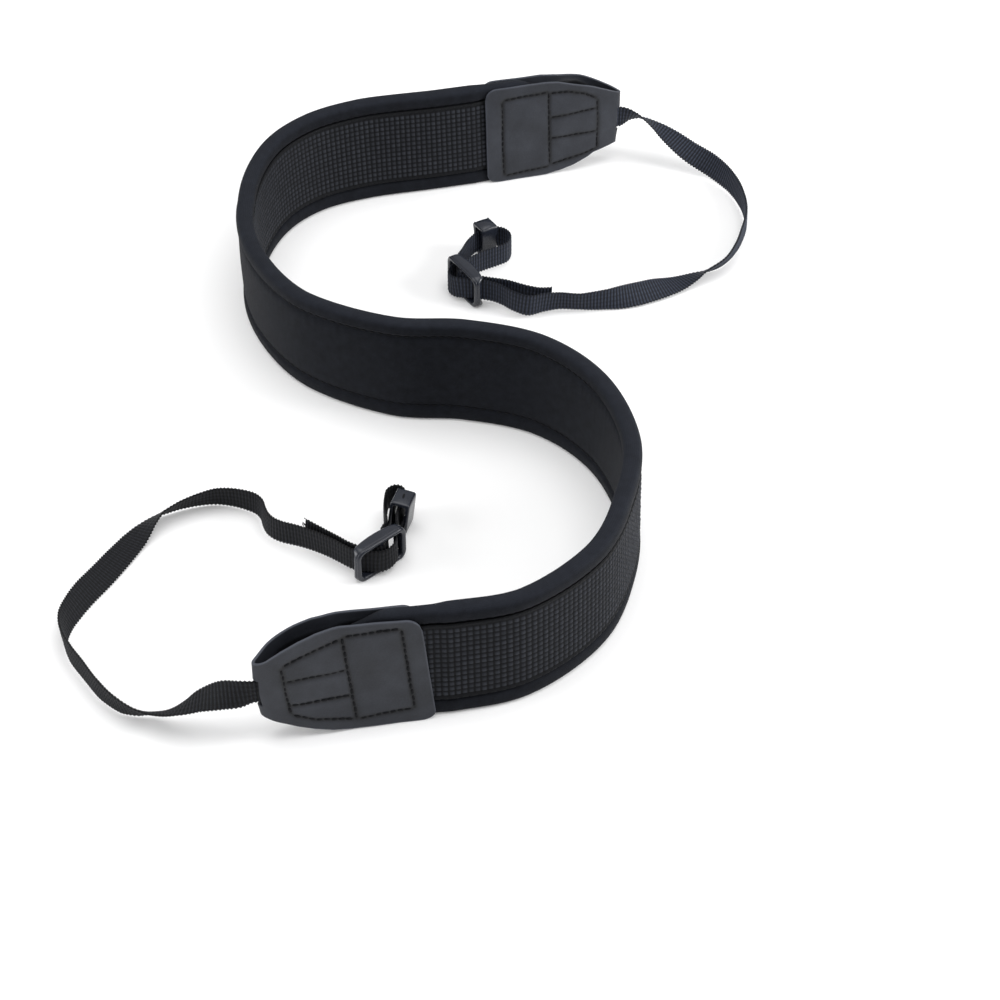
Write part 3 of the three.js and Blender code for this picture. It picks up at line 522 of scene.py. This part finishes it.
class Tab:
    """The leather of one end; distance(s) is the place along the band, s from its fold."""

    def __init__(self, distance, sewing, edges, bulge, slant, tuck):
        self.distance = distance
        self.sewing = sewing
        self.edges = {name: column(edges, EDGE_COLUMNS, name) for name in EDGE_COLUMNS}
        self.length = self.edges["s"][-1]
        self.bulge = bulge
        self.slant = slant
        self.tuck = tuck
        self.away = math.copysign(1, float(distance(1) - distance(0)))
        s = self.length * np.linspace(0, 1, FOLD_SAMPLES) ** 2
        s = np.concatenate([s[::-1], s[1:]])
        one_flap = np.ones(FOLD_SAMPLES - 1)
        side = np.concatenate([one_flap, [0], -one_flap])
        middle = self.middle(s, side)
        run = np.concatenate([[0], np.cumsum(np.linalg.norm(np.diff(middle, axis=0), axis=1))])
        count = int(run[-1] / LEATHER_STEP)
        self.run = np.linspace(0, run[-1], count + 1)
        signed = np.interp(self.run, run, s * np.where(side == 0, 1, side))
        self.s = np.abs(signed)
        self.side = np.sign(signed)

    def middle(self, s, side):
        """Middle of the leather's thickness, seen from above."""
        place, _, normal, _ = spine_at(self.distance(s))
        return place + normal * (side * flap_offset(s, side, self.bulge))[:, None]

    def across(self, s, side):
        """Outward direction of the leather."""
        step = 0.15
        signed = s * side
        a, b = signed + step, signed - step
        ahead = self.middle(np.abs(a), np.sign(a))
        behind = self.middle(np.abs(b), np.sign(b))
        along = ahead - behind
        along /= np.linalg.norm(along, axis=1)[:, None]
        out = np.stack([-along[:, 1], along[:, 0], np.zeros(len(along))], axis=1)
        _, _, normal, _ = spine_at(self.distance(s))
        ends = np.sign(np.sum(out * normal, axis=1)) * np.where(side == 0, 1, side)
        return out * np.where(np.abs(ends) < 0.5, 1, ends)[:, None]

    def limits(self, s, side):
        """Lower and upper edge of the leather, round at the flaps' corners."""
        low, front, back = (np.interp(s, self.edges["s"], self.edges[name])
                            for name in ("low", "front", "back"))
        from_end = np.clip((self.length - s) / TAB_CORNER, 0, 1)
        corner = TAB_CORNER * (1 - np.sqrt(1 - (1 - from_end) ** 2))
        return low + 0.6 * corner, np.where(side > 0, front, back) - corner

    def slide(self, s, z):
        """How far the leather lies from its straight place, away from the fold."""
        slanted = -self.slant * (z - 24) * smoothstep(s, 0, 10)
        tucked = self.tuck * (1 - smoothstep(z, 10, 26)) * np.exp(-s / 7)
        return self.away * (slanted + tucked)

    def dent(self, s, z):
        """How deep the stitch lines draw the leather in, 0 to 1."""
        deep = np.zeros(np.shape(s))
        for line in self.sewing:
            for a, b in zip(line, line[1:]):
                away = segment_distance(s, z, a, b) / DENT_WIDTH
                deep = np.maximum(deep, np.exp(-away ** 2))
        return deep

    def surface(self, s, side, z, lift):
        """Outer point and outward direction at a distance, side and height."""
        s = np.atleast_1d(np.asarray(s, float))
        side = np.full(s.shape, side, float)
        z = np.atleast_1d(np.asarray(z, float))
        out = self.across(s, side)
        _, tangent, normal, lean = spine_at(self.distance(s))
        point = self.middle(s, side) + normal * (lean * z / PAD_HEIGHT)[:, None]
        point += tangent * self.slide(s, z)[:, None]
        point[:, 2] = z
        lift = TAB_WALL / 2 + lift - DENT * self.dent(s, z)
        return point + out * lift[:, None], out

    def leather(self, name):
        """The folded strip with its slit, thickened and with rounded edges."""
        share = np.linspace(0, 1, LEATHER_COLUMNS + 1)
        low, high = self.limits(self.s, self.side)
        z = low[:, None] + (high - low)[:, None] * share[None, :]
        _, tangent, normal, lean = spine_at(self.distance(self.s))
        middle = self.middle(self.s, self.side)
        out = self.across(self.s, self.side)
        s = np.broadcast_to(self.s[:, None], z.shape)
        dent = self.dent(s, z)
        wave = 0.1 * np.sin(s / 3.1 + z / 7) + 0.12 * np.sin(z / 5.2 + self.side[:, None])
        over_strap = (smoothstep(self.s, 4, 10) * (1 - smoothstep(self.s, 33, 38)))[:, None]
        strap_swell = 0.25 * np.exp(-(((z - SLIT_Z) / 6.5) ** 4))
        wave = wave * smoothstep(self.s, 3, 12)[:, None] + strap_swell * over_strap
        shift = lean[:, None] * z / PAD_HEIGHT
        points = middle[:, None, :] + normal[:, None, :] * shift[:, :, None]
        points += out[:, None, :] * (wave - DENT * dent)[:, :, None]
        points += tangent[:, None, :] * self.slide(s, z)[:, :, None]
        points[:, :, 2] = z
        faces = []
        row = LEATHER_COLUMNS + 1
        for i in range(len(self.s) - 1):
            at_fold = (self.s[i] + self.s[i + 1]) / 2 < SLIT_REACH
            for j in range(LEATHER_COLUMNS):
                in_slit = abs((z[i, j] + z[i, j + 1]) / 2 - SLIT_Z) < SLIT_HEIGHT / 2
                if not (at_fold and in_slit):
                    a = i * row + j
                    faces.append((a, a + 1, a + row + 1, a + row))
        rim = np.zeros(z.shape)
        rim[0, :] = rim[-1, :] = 1
        rim[:, 0] = rim[:, -1] = 1
        uvs = np.stack([np.broadcast_to(self.run[:, None], z.shape), z], axis=2)
        # Painted light: a painted highlight on every edge of the leather and painted shade along
        # the stitch dents.
        values = rim - dent * 0.8
        obj = build(name, points.reshape(-1, 3), faces, uvs.reshape(-1, 2), values.reshape(-1))
        thick = obj.modifiers.new("thickness", "SOLIDIFY")
        thick.thickness = TAB_WALL * MM
        thick.offset = 0
        rounded = obj.modifiers.new("edges", "BEVEL")
        rounded.width = EDGE_ROUND * MM
        rounded.segments = 2
        rounded.limit_method = "ANGLE"
        rounded.angle_limit = math.radians(55)
        return obj

    def stitches(self, pitch=3.0, length=2.8):
        """Dashes along the stitch lines of both flaps, slightly uneven."""
        found = []
        for line in self.sewing:
            spans = [math.dist(a, b) for a, b in zip(line, line[1:])]
            total = sum(spans)
            marks = np.concatenate([[0], np.cumsum(spans)])
            count = max(1, round(total / pitch))
            for k in range(count):
                mid = (k + 0.5) * total / count + random.uniform(-0.15, 0.15)
                ends = np.array([mid - length / 2, mid + length / 2])
                s = np.interp(ends, marks, [place[0] for place in line])
                s = s + [random.uniform(-0.2, 0.4), 0.1]
                z = np.interp(ends, marks, [place[1] for place in line])
                z = z + [random.uniform(-0.22, 0.22), -0.1]
                for side in (1, -1):
                    points, out = self.surface(s, side, z, 0.02)
                    found.append((points[0], points[1], out[0]))
        return found


def thread(name, stitches, radius=0.3, sides=6):
    """Short sewn dashes: each sinks in at both ends."""
    shares = np.array([0, 0.12, 0.35, 0.65, 0.88, 1])
    sink = np.array([-0.35, 0, 0.1, 0.1, 0, -0.35])
    fat = np.array([0.45, 0.85, 1, 1, 0.85, 0.45])
    verts, faces = [], []
    for a, b, out in stitches:
        along = (b - a) / np.linalg.norm(b - a)
        side = np.cross(along, out)
        base = len(verts)
        for share, deep, wide in zip(shares, sink, fat):
            middle = lerp(a, b, share) + out * deep
            for k in range(sides):
                angle = 2 * math.pi * k / sides
                spoke = math.cos(angle) * side + 0.7 * math.sin(angle) * out
                verts.append(middle + radius * wide * spoke)
        faces += [tuple(base + i for i in face) for face in tube_faces(len(shares), sides)]
    return build(name, verts, faces)


def band_stitches(side, heights, sunk):
    """Dashes along the band at given heights, sunk below the face of one side."""
    clear = PAD_START + DASH_END_CLEAR
    first = math.ceil(clear / STITCH_PITCH)
    last = math.floor((SPINE_LENGTH - clear) / STITCH_PITCH)
    found = []
    for height in heights:
        for k in range(first, last):
            ends = k * STITCH_PITCH + np.array([-DASH_HALF, DASH_HALF])
            at = spine_at(ends)
            offset = side * (pad_half(ends)[:, None] - sunk)
            points = band_points(at, offset, np.full((2, 1), height))[:, 0, :]
            found.append((points[0], points[1], at[2][0] * side))
    return found


def route_points(route):
    return [row[:3] for row in route]


def ribbon_frames(route, run):
    """Place, tangent, width direction and face direction of a strap along its route."""
    place, tangent, row = along_curve(route_points(route), ROUTE_STEPS * len(route), run)
    rolls = column(route, ROUTE_COLUMNS, "roll")
    roll = np.radians(np.interp(row, range(len(route)), rolls))
    right = np.cross(tangent, [0, 0, 1])
    right /= np.linalg.norm(right, axis=1)[:, None]
    up = np.cross(right, tangent)
    width = up * np.cos(roll)[:, None] + right * np.sin(roll)[:, None]
    thick = np.cross(width, tangent)
    return place, tangent, width, thick


def route_length(route):
    return curve_length(route_points(route), ROUTE_STEPS * len(route))


def webbing(name, route):
    """Ribbed strap with shallow lobes across."""
    run = np.arange(0, route_length(route), RIB_PITCH / RIB_STEPS)
    place, tangent, width, thick = ribbon_frames(route, run)
    rib = 0.5 + 0.5 * np.cos(2 * math.pi * run / RIB_PITCH)
    across = np.linspace(-1, 1, WEB_COLUMNS)
    lobes = 0.7 + 0.3 * np.abs(np.cos(WEB_LOBES / 2 * math.pi * across))
    selvedge = np.sqrt(1 - 0.85 * across ** 8)
    body = lobes * selvedge
    half_wide = RIB_HALF_WIDTH[0] + RIB_HALF_WIDTH[1] * rib
    half_thick = RIB_HALF_THICK[0] + RIB_HALF_THICK[1] * rib
    front = np.stack(np.broadcast_arrays(across[None, :] * half_wide[:, None],
                                         body[None, :] * half_thick[:, None]), axis=2)
    back = np.stack([front[:, ::-1, 0], -front[:, ::-1, 1]], axis=2)
    ring = np.concatenate([front, back], axis=1)
    points = place[:, None, :] + width[:, None, :] * ring[:, :, 0:1]
    points = points + thick[:, None, :] * ring[:, :, 1:2]
    points[:, :, 2] = np.maximum(points[:, :, 2], 0)
    uvs = np.stack([np.broadcast_to(run[:, None], ring.shape[:2]), ring[:, :, 0]], axis=2)
    # Painted light: rib crests and lobe tops are painted paler as a highlight, the dips and edges
    # darker as shade.
    values = rib[:, None] * np.concatenate([body, body[::-1]])[None, :]
    return build(name, points.reshape(-1, 3), tube_faces(len(run), ring.shape[1]),
                 uvs.reshape(-1, 2), values.reshape(-1))


def frayed_end(name, route, strands, reach):
    """Loose yarns standing out of the cut end."""
    near_cut = np.array([route_length(route) - 0.2])
    place, tangent, width, thick = (part[0] for part in ribbon_frames(route, near_cut))
    found = []
    for _ in range(strands):
        w = random.uniform(-0.48, 0.48) * WEB_WIDTH
        h = random.uniform(-0.35, 0.35)
        root = place + width * w + thick * h
        lean = width * random.uniform(-0.6, 0.9) + thick * random.uniform(-0.7, 0.7)
        tip = root + (tangent + lean) * random.uniform(0.3, 1) * reach
        found.append((root, tip, thick))
    return thread(name, found, radius=YARN_RADIUS, sides=5)


def stood(obj, where, base_z, tilt=0):
    """Moves drawn vertices (u along, v out of the face, z up) to their place."""
    ax, ay = where["along"]
    lean = math.radians(tilt)
    for vertex in obj.data.vertices:
        u, v, z = vertex.co / MM
        v, z = v * math.cos(lean) + z * math.sin(lean), -v * math.sin(lean) + z * math.cos(lean)
        place = (where["x"] + u * ax + v * ay, where["y"] + u * ay - v * ax, base_z + z)
        vertex.co = Vector(place) * MM
    obj.data.update()
    return obj


def rounded_rectangle(x, z, radius, steps=5, parts=4):
    """Outline with round corners, its straight sides cut into equal parts."""
    corners = ((1, 1, 0), (-1, 1, 90), (-1, -1, 180), (1, -1, 270))

    def on_corner(corner_x, corner_z, degrees):
        turn = math.radians(degrees)
        return (corner_x * (x - radius) + radius * math.cos(turn),
                corner_z * (z - radius) + radius * math.sin(turn))

    points = []
    for (corner_x, corner_z, start), after in zip(corners, corners[1:] + corners[:1]):
        points += [on_corner(corner_x, corner_z, start + 90 * k / steps)
                   for k in range(steps + 1)]
        last, goal = points[-1], on_corner(after[0], after[1], start + 90)
        points += [(lerp(last[0], goal[0], k / parts), lerp(last[1], goal[1], k / parts))
                   for k in range(1, parts)]
    return np.array(points)


def looped_faces(rings, sides):
    """Faces of rings that close on themselves, like a bent tube."""
    faces = []
    for i in range(rings):
        here, there = i * sides, (i + 1) % rings * sides
        for j in range(sides):
            k = (j + 1) % sides
            faces.append((here + j, here + k, there + k, there + j))
    return faces


def slide_buckle(name, where):
    """Bowed frame with a lip and groove round its front, and a bar across its middle."""
    path = rounded_rectangle(BUCKLE_LENGTH / 2 - RAIL_INSET[0], BUCKLE_HEIGHT / 2 - RAIL_INSET[1],
                             BUCKLE_CORNER, steps=8, parts=14)
    before, after = np.roll(path, 1, axis=0), np.roll(path, -1, axis=0)
    along = after - before
    along /= np.linalg.norm(along, axis=1)[:, None]
    verts = []
    for (u, z), (du, dz) in zip(path, along):
        out_u, out_z = dz, -du
        a = 1.05 + 0.2 * abs(out_u)
        f = BUCKLE_FRONT - 0.5 * (abs(u) / (BUCKLE_LENGTH / 2)) ** 6
        bow = -(BUCKLE_BOW[0] + BUCKLE_BOW[1] * (1 - (u / (BUCKLE_LENGTH / 2 + 1)) ** 2))
        behind = (1 - smoothstep(abs(z), 5.4, 6.6)) * smoothstep(abs(u), 10.5, 11.5)
        b = lerp(bow, -BAR_BACK, behind)
        section = [  # inner side, front, lip, groove, outer side, back
            (-a, f - 1.3), (-a + 0.12, f - 0.6), (-a + 0.5, f - 0.12), (-a + 1.0, f),
            (a - 0.9, f), (a - 0.45, f - 0.1), (a - 0.12, f - 0.4), (a, f - 0.8),
            (a - 0.02, f - 1.0), (a - 0.28, f - 1.15), (a - 0.28, f - 1.35),
            (a - 0.02, f - 1.5), (a + 0.05, f - 1.8), (a + 0.08, lerp(f, b, 0.7)),
            (a, b + 0.7), (a - 0.3, b + 0.2), (a - 0.8, b),
            (-a + 0.7, b), (-a + 0.2, b + 0.25), (-a, b + 0.7),
        ]
        verts += [(u + out_u * r, d, z + out_z * r) for r, d in section]
    faces = looped_faces(len(path), len(section))
    base = len(verts)
    bar = rounded_rectangle(BAR_WIDTH / 2, (BAR_FRONT + BAR_BACK) / 2, 0.6)
    heights = np.linspace(-6.9, 6.9, 5)
    verts += [(u, v + (BAR_FRONT - BAR_BACK) / 2, z) for z in heights for u, v in bar]
    faces += [tuple(base + k for k in face) for face in tube_faces(len(heights), len(bar))]
    return stood(build(name, verts, faces), where, THREAD_Z)


def keeper_base(where):
    """Height of the middle of a sleeve that stands tilted on the floor."""
    dip = KEEPER_THICK / 2 * math.sin(math.radians(abs(where["tilt"])))
    return KEEPER_HEIGHT / 2 + KEEPER_CLEAR + dip


def keeper_slit_shade(name, where, rise, length=1.5, breadth=0.42):
    """Short dark patch on the top of a sleeve: painted shade standing for the inside of a slit."""
    turns = np.linspace(0, 2 * math.pi, 12, endpoint=False)
    top = KEEPER_HEIGHT / 2 + rise
    outline = [(length * math.cos(turn) + breadth * math.sin(turn),
                breadth * math.sin(turn) - 0.3 * math.cos(turn)) for turn in turns]
    verts = [(u, v, z) for z in (top - 0.3, top + 0.04) for u, v in outline]
    slit = build(name, verts, tube_faces(2, len(turns)))
    return stood(slit, where, keeper_base(where), where["tilt"])


def keeper(name, where, longer, thicker, dome, flare):
    """Sleeve with soft ends: outer rings one way, inner rings back, nubs on a flared top."""
    half = KEEPER_LENGTH / 2 + longer
    x, z = KEEPER_THICK / 2 + thicker, KEEPER_HEIGHT / 2
    us = np.array([-1, -0.985, -0.94, -0.8, -0.4, 0, 0.4, 0.8, 0.94, 0.985, 1]) * half
    shrink = np.array([0.5, 0.18, 0, 0, 0, 0, 0, 0, 0, 0.18, 0.5])
    rings = []
    for u, less in zip(us, shrink):
        for px, pz in rounded_rectangle(x - less, z - less, KEEPER_CORNER):
            rise = dome * (1 - (u / half) ** 2) * max(1 - (px / x) ** 2, 0) if pz > z - 1.5 else 0
            cap = 1 + flare * float(smoothstep(pz, z - 2.4, z - 1.5))
            rings.append((u * cap, px * cap, pz + rise))
    wall = KEEPER_WALL + thicker
    for u, less in ((half - 0.02, -0.3), (half - 0.4, 0), (-half + 0.4, 0), (-half + 0.02, -0.3)):
        inner = rounded_rectangle(x - wall - less, z - wall - less, KEEPER_INNER_CORNER)
        rings += [(u, px, pz) for px, pz in inner]
    sides = len(inner)
    obj = build(name, rings, looped_faces(len(rings) // sides, sides))
    places = [(u, v) for u in (-half + 0.4, half - 0.4) for v in (0.7 - x, x - 0.7)]
    bm = bmesh.new()
    bm.from_mesh(obj.data)
    for u, v in places if flare else []:
        made = bmesh.ops.create_uvsphere(bm, u_segments=12, v_segments=8, radius=MM)
        for vertex in made["verts"]:
            px, py, pz = (place * radius for place, radius in zip(vertex.co / MM, NUB_RADII))
            vertex.co = Vector((u + px, v + py, z - 0.1 + pz)) * MM
    bm.to_mesh(obj.data)
    bm.free()
    obj.data.polygons.foreach_set("use_smooth", [True] * len(obj.data.polygons))
    return stood(obj, where, keeper_base(where), where["tilt"])


class Finish:
    """A procedural material whose bumps and tints are built from noise and waves."""

    def __init__(self, name, rough, shine, sheen=0.0):
        self.material = bpy.data.materials.new(name)
        self.material.use_nodes = True
        self.tree = self.material.node_tree
        self.shader = self.tree.nodes["Principled BSDF"]
        self.shader.inputs["Roughness"].default_value = rough
        self.shader.inputs["Specular IOR Level"].default_value = shine
        self.shader.inputs["Sheen Weight"].default_value = sheen
        self.shader.inputs["Sheen Roughness"].default_value = 0.5

    def node(self, kind, **settings):
        made = self.tree.nodes.new(kind)
        for key, value in settings.items():
            setattr(made, key, value)
        return made

    def link(self, a, b):
        self.tree.links.new(a, b)

    def coords(self, uv):
        """Place along and around the piece (uv) or in space."""
        return self.node("ShaderNodeTexCoord").outputs["UV" if uv else "Object"]

    def noise(self, scale, detail=3.0):
        made = self.node("ShaderNodeTexNoise")
        made.inputs["Scale"].default_value = scale
        made.inputs["Detail"].default_value = detail
        self.link(self.coords(False), made.inputs["Vector"])
        return made.outputs["Fac"]

    def wave(self, direction, scale, distortion=0.0):
        made = self.node("ShaderNodeTexWave", bands_direction=direction)
        made.inputs["Scale"].default_value = scale
        made.inputs["Distortion"].default_value = distortion
        self.link(self.coords(True), made.inputs["Vector"])
        return made.outputs["Fac"]

    def cells(self, scale):
        made = self.node("ShaderNodeTexVoronoi", feature="SMOOTH_F1")
        made.inputs["Scale"].default_value = scale
        self.link(self.coords(False), made.inputs["Vector"])
        return made.outputs["Distance"]

    def maths(self, operation, a, b):
        made = self.node("ShaderNodeMath", operation=operation)
        for socket, value in zip(made.inputs, (a, b)):
            if isinstance(value, (int, float)):
                socket.default_value = value
            else:
                self.link(value, socket)
        return made.outputs[0]

    def mix(self, *parts):
        """Sum of (value, weight) parts."""
        total = None
        for value, weight in parts:
            part = value if weight == 1 else self.maths("MULTIPLY", value, weight)
            total = part if total is None else self.maths("ADD", total, part)
        return total

    def relief_and_shade(self):
        """The painted light stored on the mesh: highlights on the cell tops, ribs, leather edges
        and the band's top; shade in the cell gaps, between the ribs and along the stitches.
        """
        return self.node("ShaderNodeAttribute", attribute_name="relief_and_shade").outputs["Fac"]

    def ramp(self, factor, stops):
        made = self.node("ShaderNodeValToRGB")
        elements = made.color_ramp.elements
        for k, (position, colour) in enumerate(stops):
            element = elements[k] if k < 2 else elements.new(position)
            element.position = position
            element.color = (*colour, 1)
        self.link(factor, made.inputs["Fac"])
        self.link(made.outputs["Color"], self.shader.inputs["Base Color"])

    def bump(self, height, depth_mm, strength=1.0):
        made = self.node("ShaderNodeBump")
        made.inputs["Strength"].default_value = strength
        made.inputs["Distance"].default_value = depth_mm * MM
        self.link(height, made.inputs["Height"])
        self.link(made.outputs["Normal"], self.shader.inputs["Normal"])


def grey(level, blue=1.5):
    """A dark neutral with a little blue."""
    return (level, level * (0.75 + 0.25 * blue), level * blue)


def jersey():
    """Matt knitted cover of the band, with a painted highlight along its top."""
    made = Finish("neoprene", 0.75, 0.08, 0.02)
    knit = made.maths("MULTIPLY", made.wave("X", 0.62), made.wave("Y", 0.5))
    mottle = made.noise(260, 4)
    fibres = made.noise(2600, 2)
    factor = made.mix((mottle, 0.45), (fibres, 0.3), (made.relief_and_shade(), 0.3))
    made.ramp(factor, [(0.2, grey(0.004, 1.6)), (0.85, grey(0.015, 1.6))])
    made.bump(made.mix((knit, 1), (fibres, 1.5)), 0.09, 0.8)
    return made.material


def grip():
    """Rubbery face with a painted highlight on the cell tops and painted shade in the gaps between
    them and at the seam edges.
    """
    made = Finish("grip", 0.62, 0.11)
    grain = made.noise(2200, 3)
    stops = [(0.05, grey(0.0015, 1.3)), (0.45, grey(0.01, 1.35)), (0.95, grey(0.032, 1.35))]
    made.ramp(made.mix((made.relief_and_shade(), 0.75), (grain, 0.25)), stops)
    made.bump(grain, 0.1, 0.7)
    return made.material


def leather():
    """Grained leather with a painted highlight along its edges and painted shade along its
    stitches.
    """
    made = Finish("leather", 0.5, 0.3)
    pores = made.cells(1500)
    cloud = made.noise(90, 4)
    fine = made.noise(1800, 4)
    stops = [(0.0, grey(0.004, 1.5)), (0.25, grey(0.0205, 1.45)), (0.62, grey(0.05, 1.4))]
    made.ramp(made.mix((cloud, 0.35), (fine, 0.15), (made.relief_and_shade(), 0.35)), stops)
    made.bump(made.mix((pores, 1), (fine, 0.8)), 0.07, 0.45)
    return made.material


def weave(name, level, blue):
    """Woven strap with a painted highlight on its ribs and painted shade between them."""
    made = Finish(name, 0.6, 0.2)
    yarns = made.wave("Y", 0.42, 0.6)
    twist = made.wave("DIAGONAL", 0.7, 1.2)
    fibres = made.noise(3200, 2)
    tones = ((0.15, 0.002), (0.5, 0.014), (0.9, 0.05))
    # Painted light: level brightens or darkens the whole copy for how lit its strap is.
    stops = [(position, grey(tone * level, blue)) for position, tone in tones]
    made.ramp(made.mix((made.relief_and_shade(), 0.6), (fibres, 0.4)), stops)
    made.bump(made.mix((yarns, 0.8), (twist, 0.6), (fibres, 1)), 0.12, 0.8)
    return made.material


def plastic():
    """Moulded plastic with a fine grain."""
    made = Finish("plastic", 0.26, 0.5)
    grain = made.noise(2400, 3)
    cloud = made.noise(120, 2)
    stops = [(0.2, grey(0.009, 1.8)), (0.8, grey(0.019, 1.8))]
    made.ramp(made.mix((cloud, 0.6), (grain, 0.4)), stops)
    made.bump(grain, 0.03, 0.5)
    return made.material


def sewing():
    """Dark matt thread."""
    made = Finish("thread", 0.75, 0.2)
    twist = made.noise(3000, 2)
    made.ramp(twist, [(0.3, grey(0.0015)), (0.7, grey(0.006))])
    made.bump(twist, 0.08, 0.8)
    return made.material


def floor_finish():
    """Pale matt floor that glows a little."""
    made = Finish("floor", 0.9, 0.05)
    cloud = made.noise(6, 2)
    made.ramp(cloud, [(0.3, (0.88, 0.88, 0.885)), (0.7, (0.9, 0.9, 0.9))])
    made.bump(made.noise(900, 2), 0.02, 0.2)
    made.shader.inputs["Emission Color"].default_value = (1, 1, 1, 1)
    made.shader.inputs["Emission Strength"].default_value = 0.12
    return made.material


def paint(obj, material):
    """Gives a piece its finish, its body and the name of its material slot."""
    obj.data.materials.clear()
    obj.data.materials.append(material)
    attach(obj, "root")
    return obj


def soft_light(name, place, target, size, power):
    lamp = bpy.data.lights.new(name, "AREA")
    lamp.shape = "SQUARE"
    lamp.size = size
    lamp.energy = power
    obj = bpy.data.objects.new(name, lamp)
    obj.location = place
    obj.rotation_euler = (Vector(target) - Vector(place)).to_track_quat("-Z", "Y").to_euler()
    bpy.context.scene.collection.objects.link(obj)


NEOPRENE, GRIP, LEATHER = jersey(), grip(), leather()
# Painted light: one woven finish in two copies, the far strap painted paler and bluer as lit, the
# near strap painted darker as shaded.
FAR_WEAVE_LIT, NEAR_WEAVE_SHADED = weave("webbing_far_lit", 0.95, 1.9), weave("webbing_near_shaded", 0.36, 1.5)
PLASTIC, THREAD, FLOOR = plastic(), sewing(), floor_finish()

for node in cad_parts.values():
    if node.type == "MESH":
        node.data.materials.clear()
        node.data.materials.append(PLASTIC)

pad = paint(neck_pad(), NEOPRENE)
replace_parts(pad, "neck_pad")

panel = paint(grip_panel(), GRIP)
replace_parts(panel, "grip_panel")

seams = (RIM_LOW + PANEL_SEAM_INSET, PAD_HEIGHT - RIM_HIGH - PANEL_SEAM_INSET)
creases = (CREASE_LOW, PAD_HEIGHT - CREASE_TOP)
paint(thread("panel_stitching", band_stitches(1, seams, PANEL_DASH_SUNK)), THREAD)
paint(thread("crease_stitching", band_stitches(-1, creases, CREASE_DASH_SUNK)), THREAD)

far_tab = Tab(lambda s: s, FAR_SEWING, FAR_EDGES, bulge=4.0, slant=0, tuck=1.8)
near_tab = Tab(lambda s: SPINE_LENGTH - s, NEAR_SEWING, NEAR_EDGES, bulge=1.9, slant=0.1, tuck=2.2)
for end, tab, thread_radius in (("far", far_tab, 0.48), ("near", near_tab, 0.58)):
    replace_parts(paint(tab.leather(end + "_leather"), LEATHER), end + "_tab")
    sewn = thread(end + "_tab_stitching", tab.stitches(), radius=thread_radius)
    paint(sewn, THREAD)

for end, route, finish in (("far", FAR_ROUTE, FAR_WEAVE_LIT), ("near", NEAR_ROUTE, NEAR_WEAVE_SHADED)):
    strap = webbing(end + "_strap", route)
    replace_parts(paint(strap, finish), end + "_webbing")
paint(frayed_end("near_fray", NEAR_ROUTE, strands=18, reach=3.0), THREAD)

for end, where in (("far", FAR_BUCKLE), ("near", NEAR_BUCKLE)):
    slide = slide_buckle(end + "_slide", where)
    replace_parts(paint(slide, PLASTIC), end + "_buckle")

far_sleeve = keeper("far_sleeve", FAR_KEEPER, longer=-0.8, thicker=0.7, dome=1.2, flare=0.07)
near_sleeve = keeper("near_sleeve", NEAR_KEEPER, longer=0.3, thicker=0.6, dome=0.6, flare=0)
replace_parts(paint(far_sleeve, PLASTIC), "far_keeper")
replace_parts(paint(near_sleeve, PLASTIC), "near_keeper")
# Painted shade: a near-black patch stands for the shade inside the near keeper's slit.
paint(keeper_slit_shade("near_slit_shade", NEAR_KEEPER, 0.6), THREAD)

floor_mesh = bpy.data.meshes.new("floor")
floor_mesh.from_pydata([(-6, -6, 0), (6, -6, 0), (6, 6, 0), (-6, 6, 0)], [], [(0, 1, 2, 3)])
floor = bpy.data.objects.new("floor", floor_mesh)
bpy.context.scene.collection.objects.link(floor)
floor_mesh.materials.append(FLOOR)

soft_light("left_front", (-1.0, -0.22, 0.4), (0, 0, 0.02), 0.6, 5.5)
soft_light("right_back", (0.95, -0.05, 0.42), (0, 0, 0.02), 0.5, 9)
soft_light("above", (0.0, 0.0, 1.5), (0, 0, 0), 1.6, 15)

world = bpy.data.worlds.new("studio")
bpy.context.scene.world = world
world.use_nodes = True
world.node_tree.nodes["Background"].inputs["Color"].default_value = (1, 1, 1, 1)
world.node_tree.nodes["Background"].inputs["Strength"].default_value = 0.5

camera_data = bpy.data.cameras.new("camera")
camera_data.lens = 95.63
camera_data.sensor_width = 36
camera = bpy.data.objects.new("camera", camera_data)
camera.location = (0.029, -0.9646, 0.7269)
camera.rotation_euler = (math.radians(51), 0, 0)
bpy.context.scene.collection.objects.link(camera)
bpy.context.scene.camera = camera
bpy.context.scene.view_settings.view_transform = "Standard"
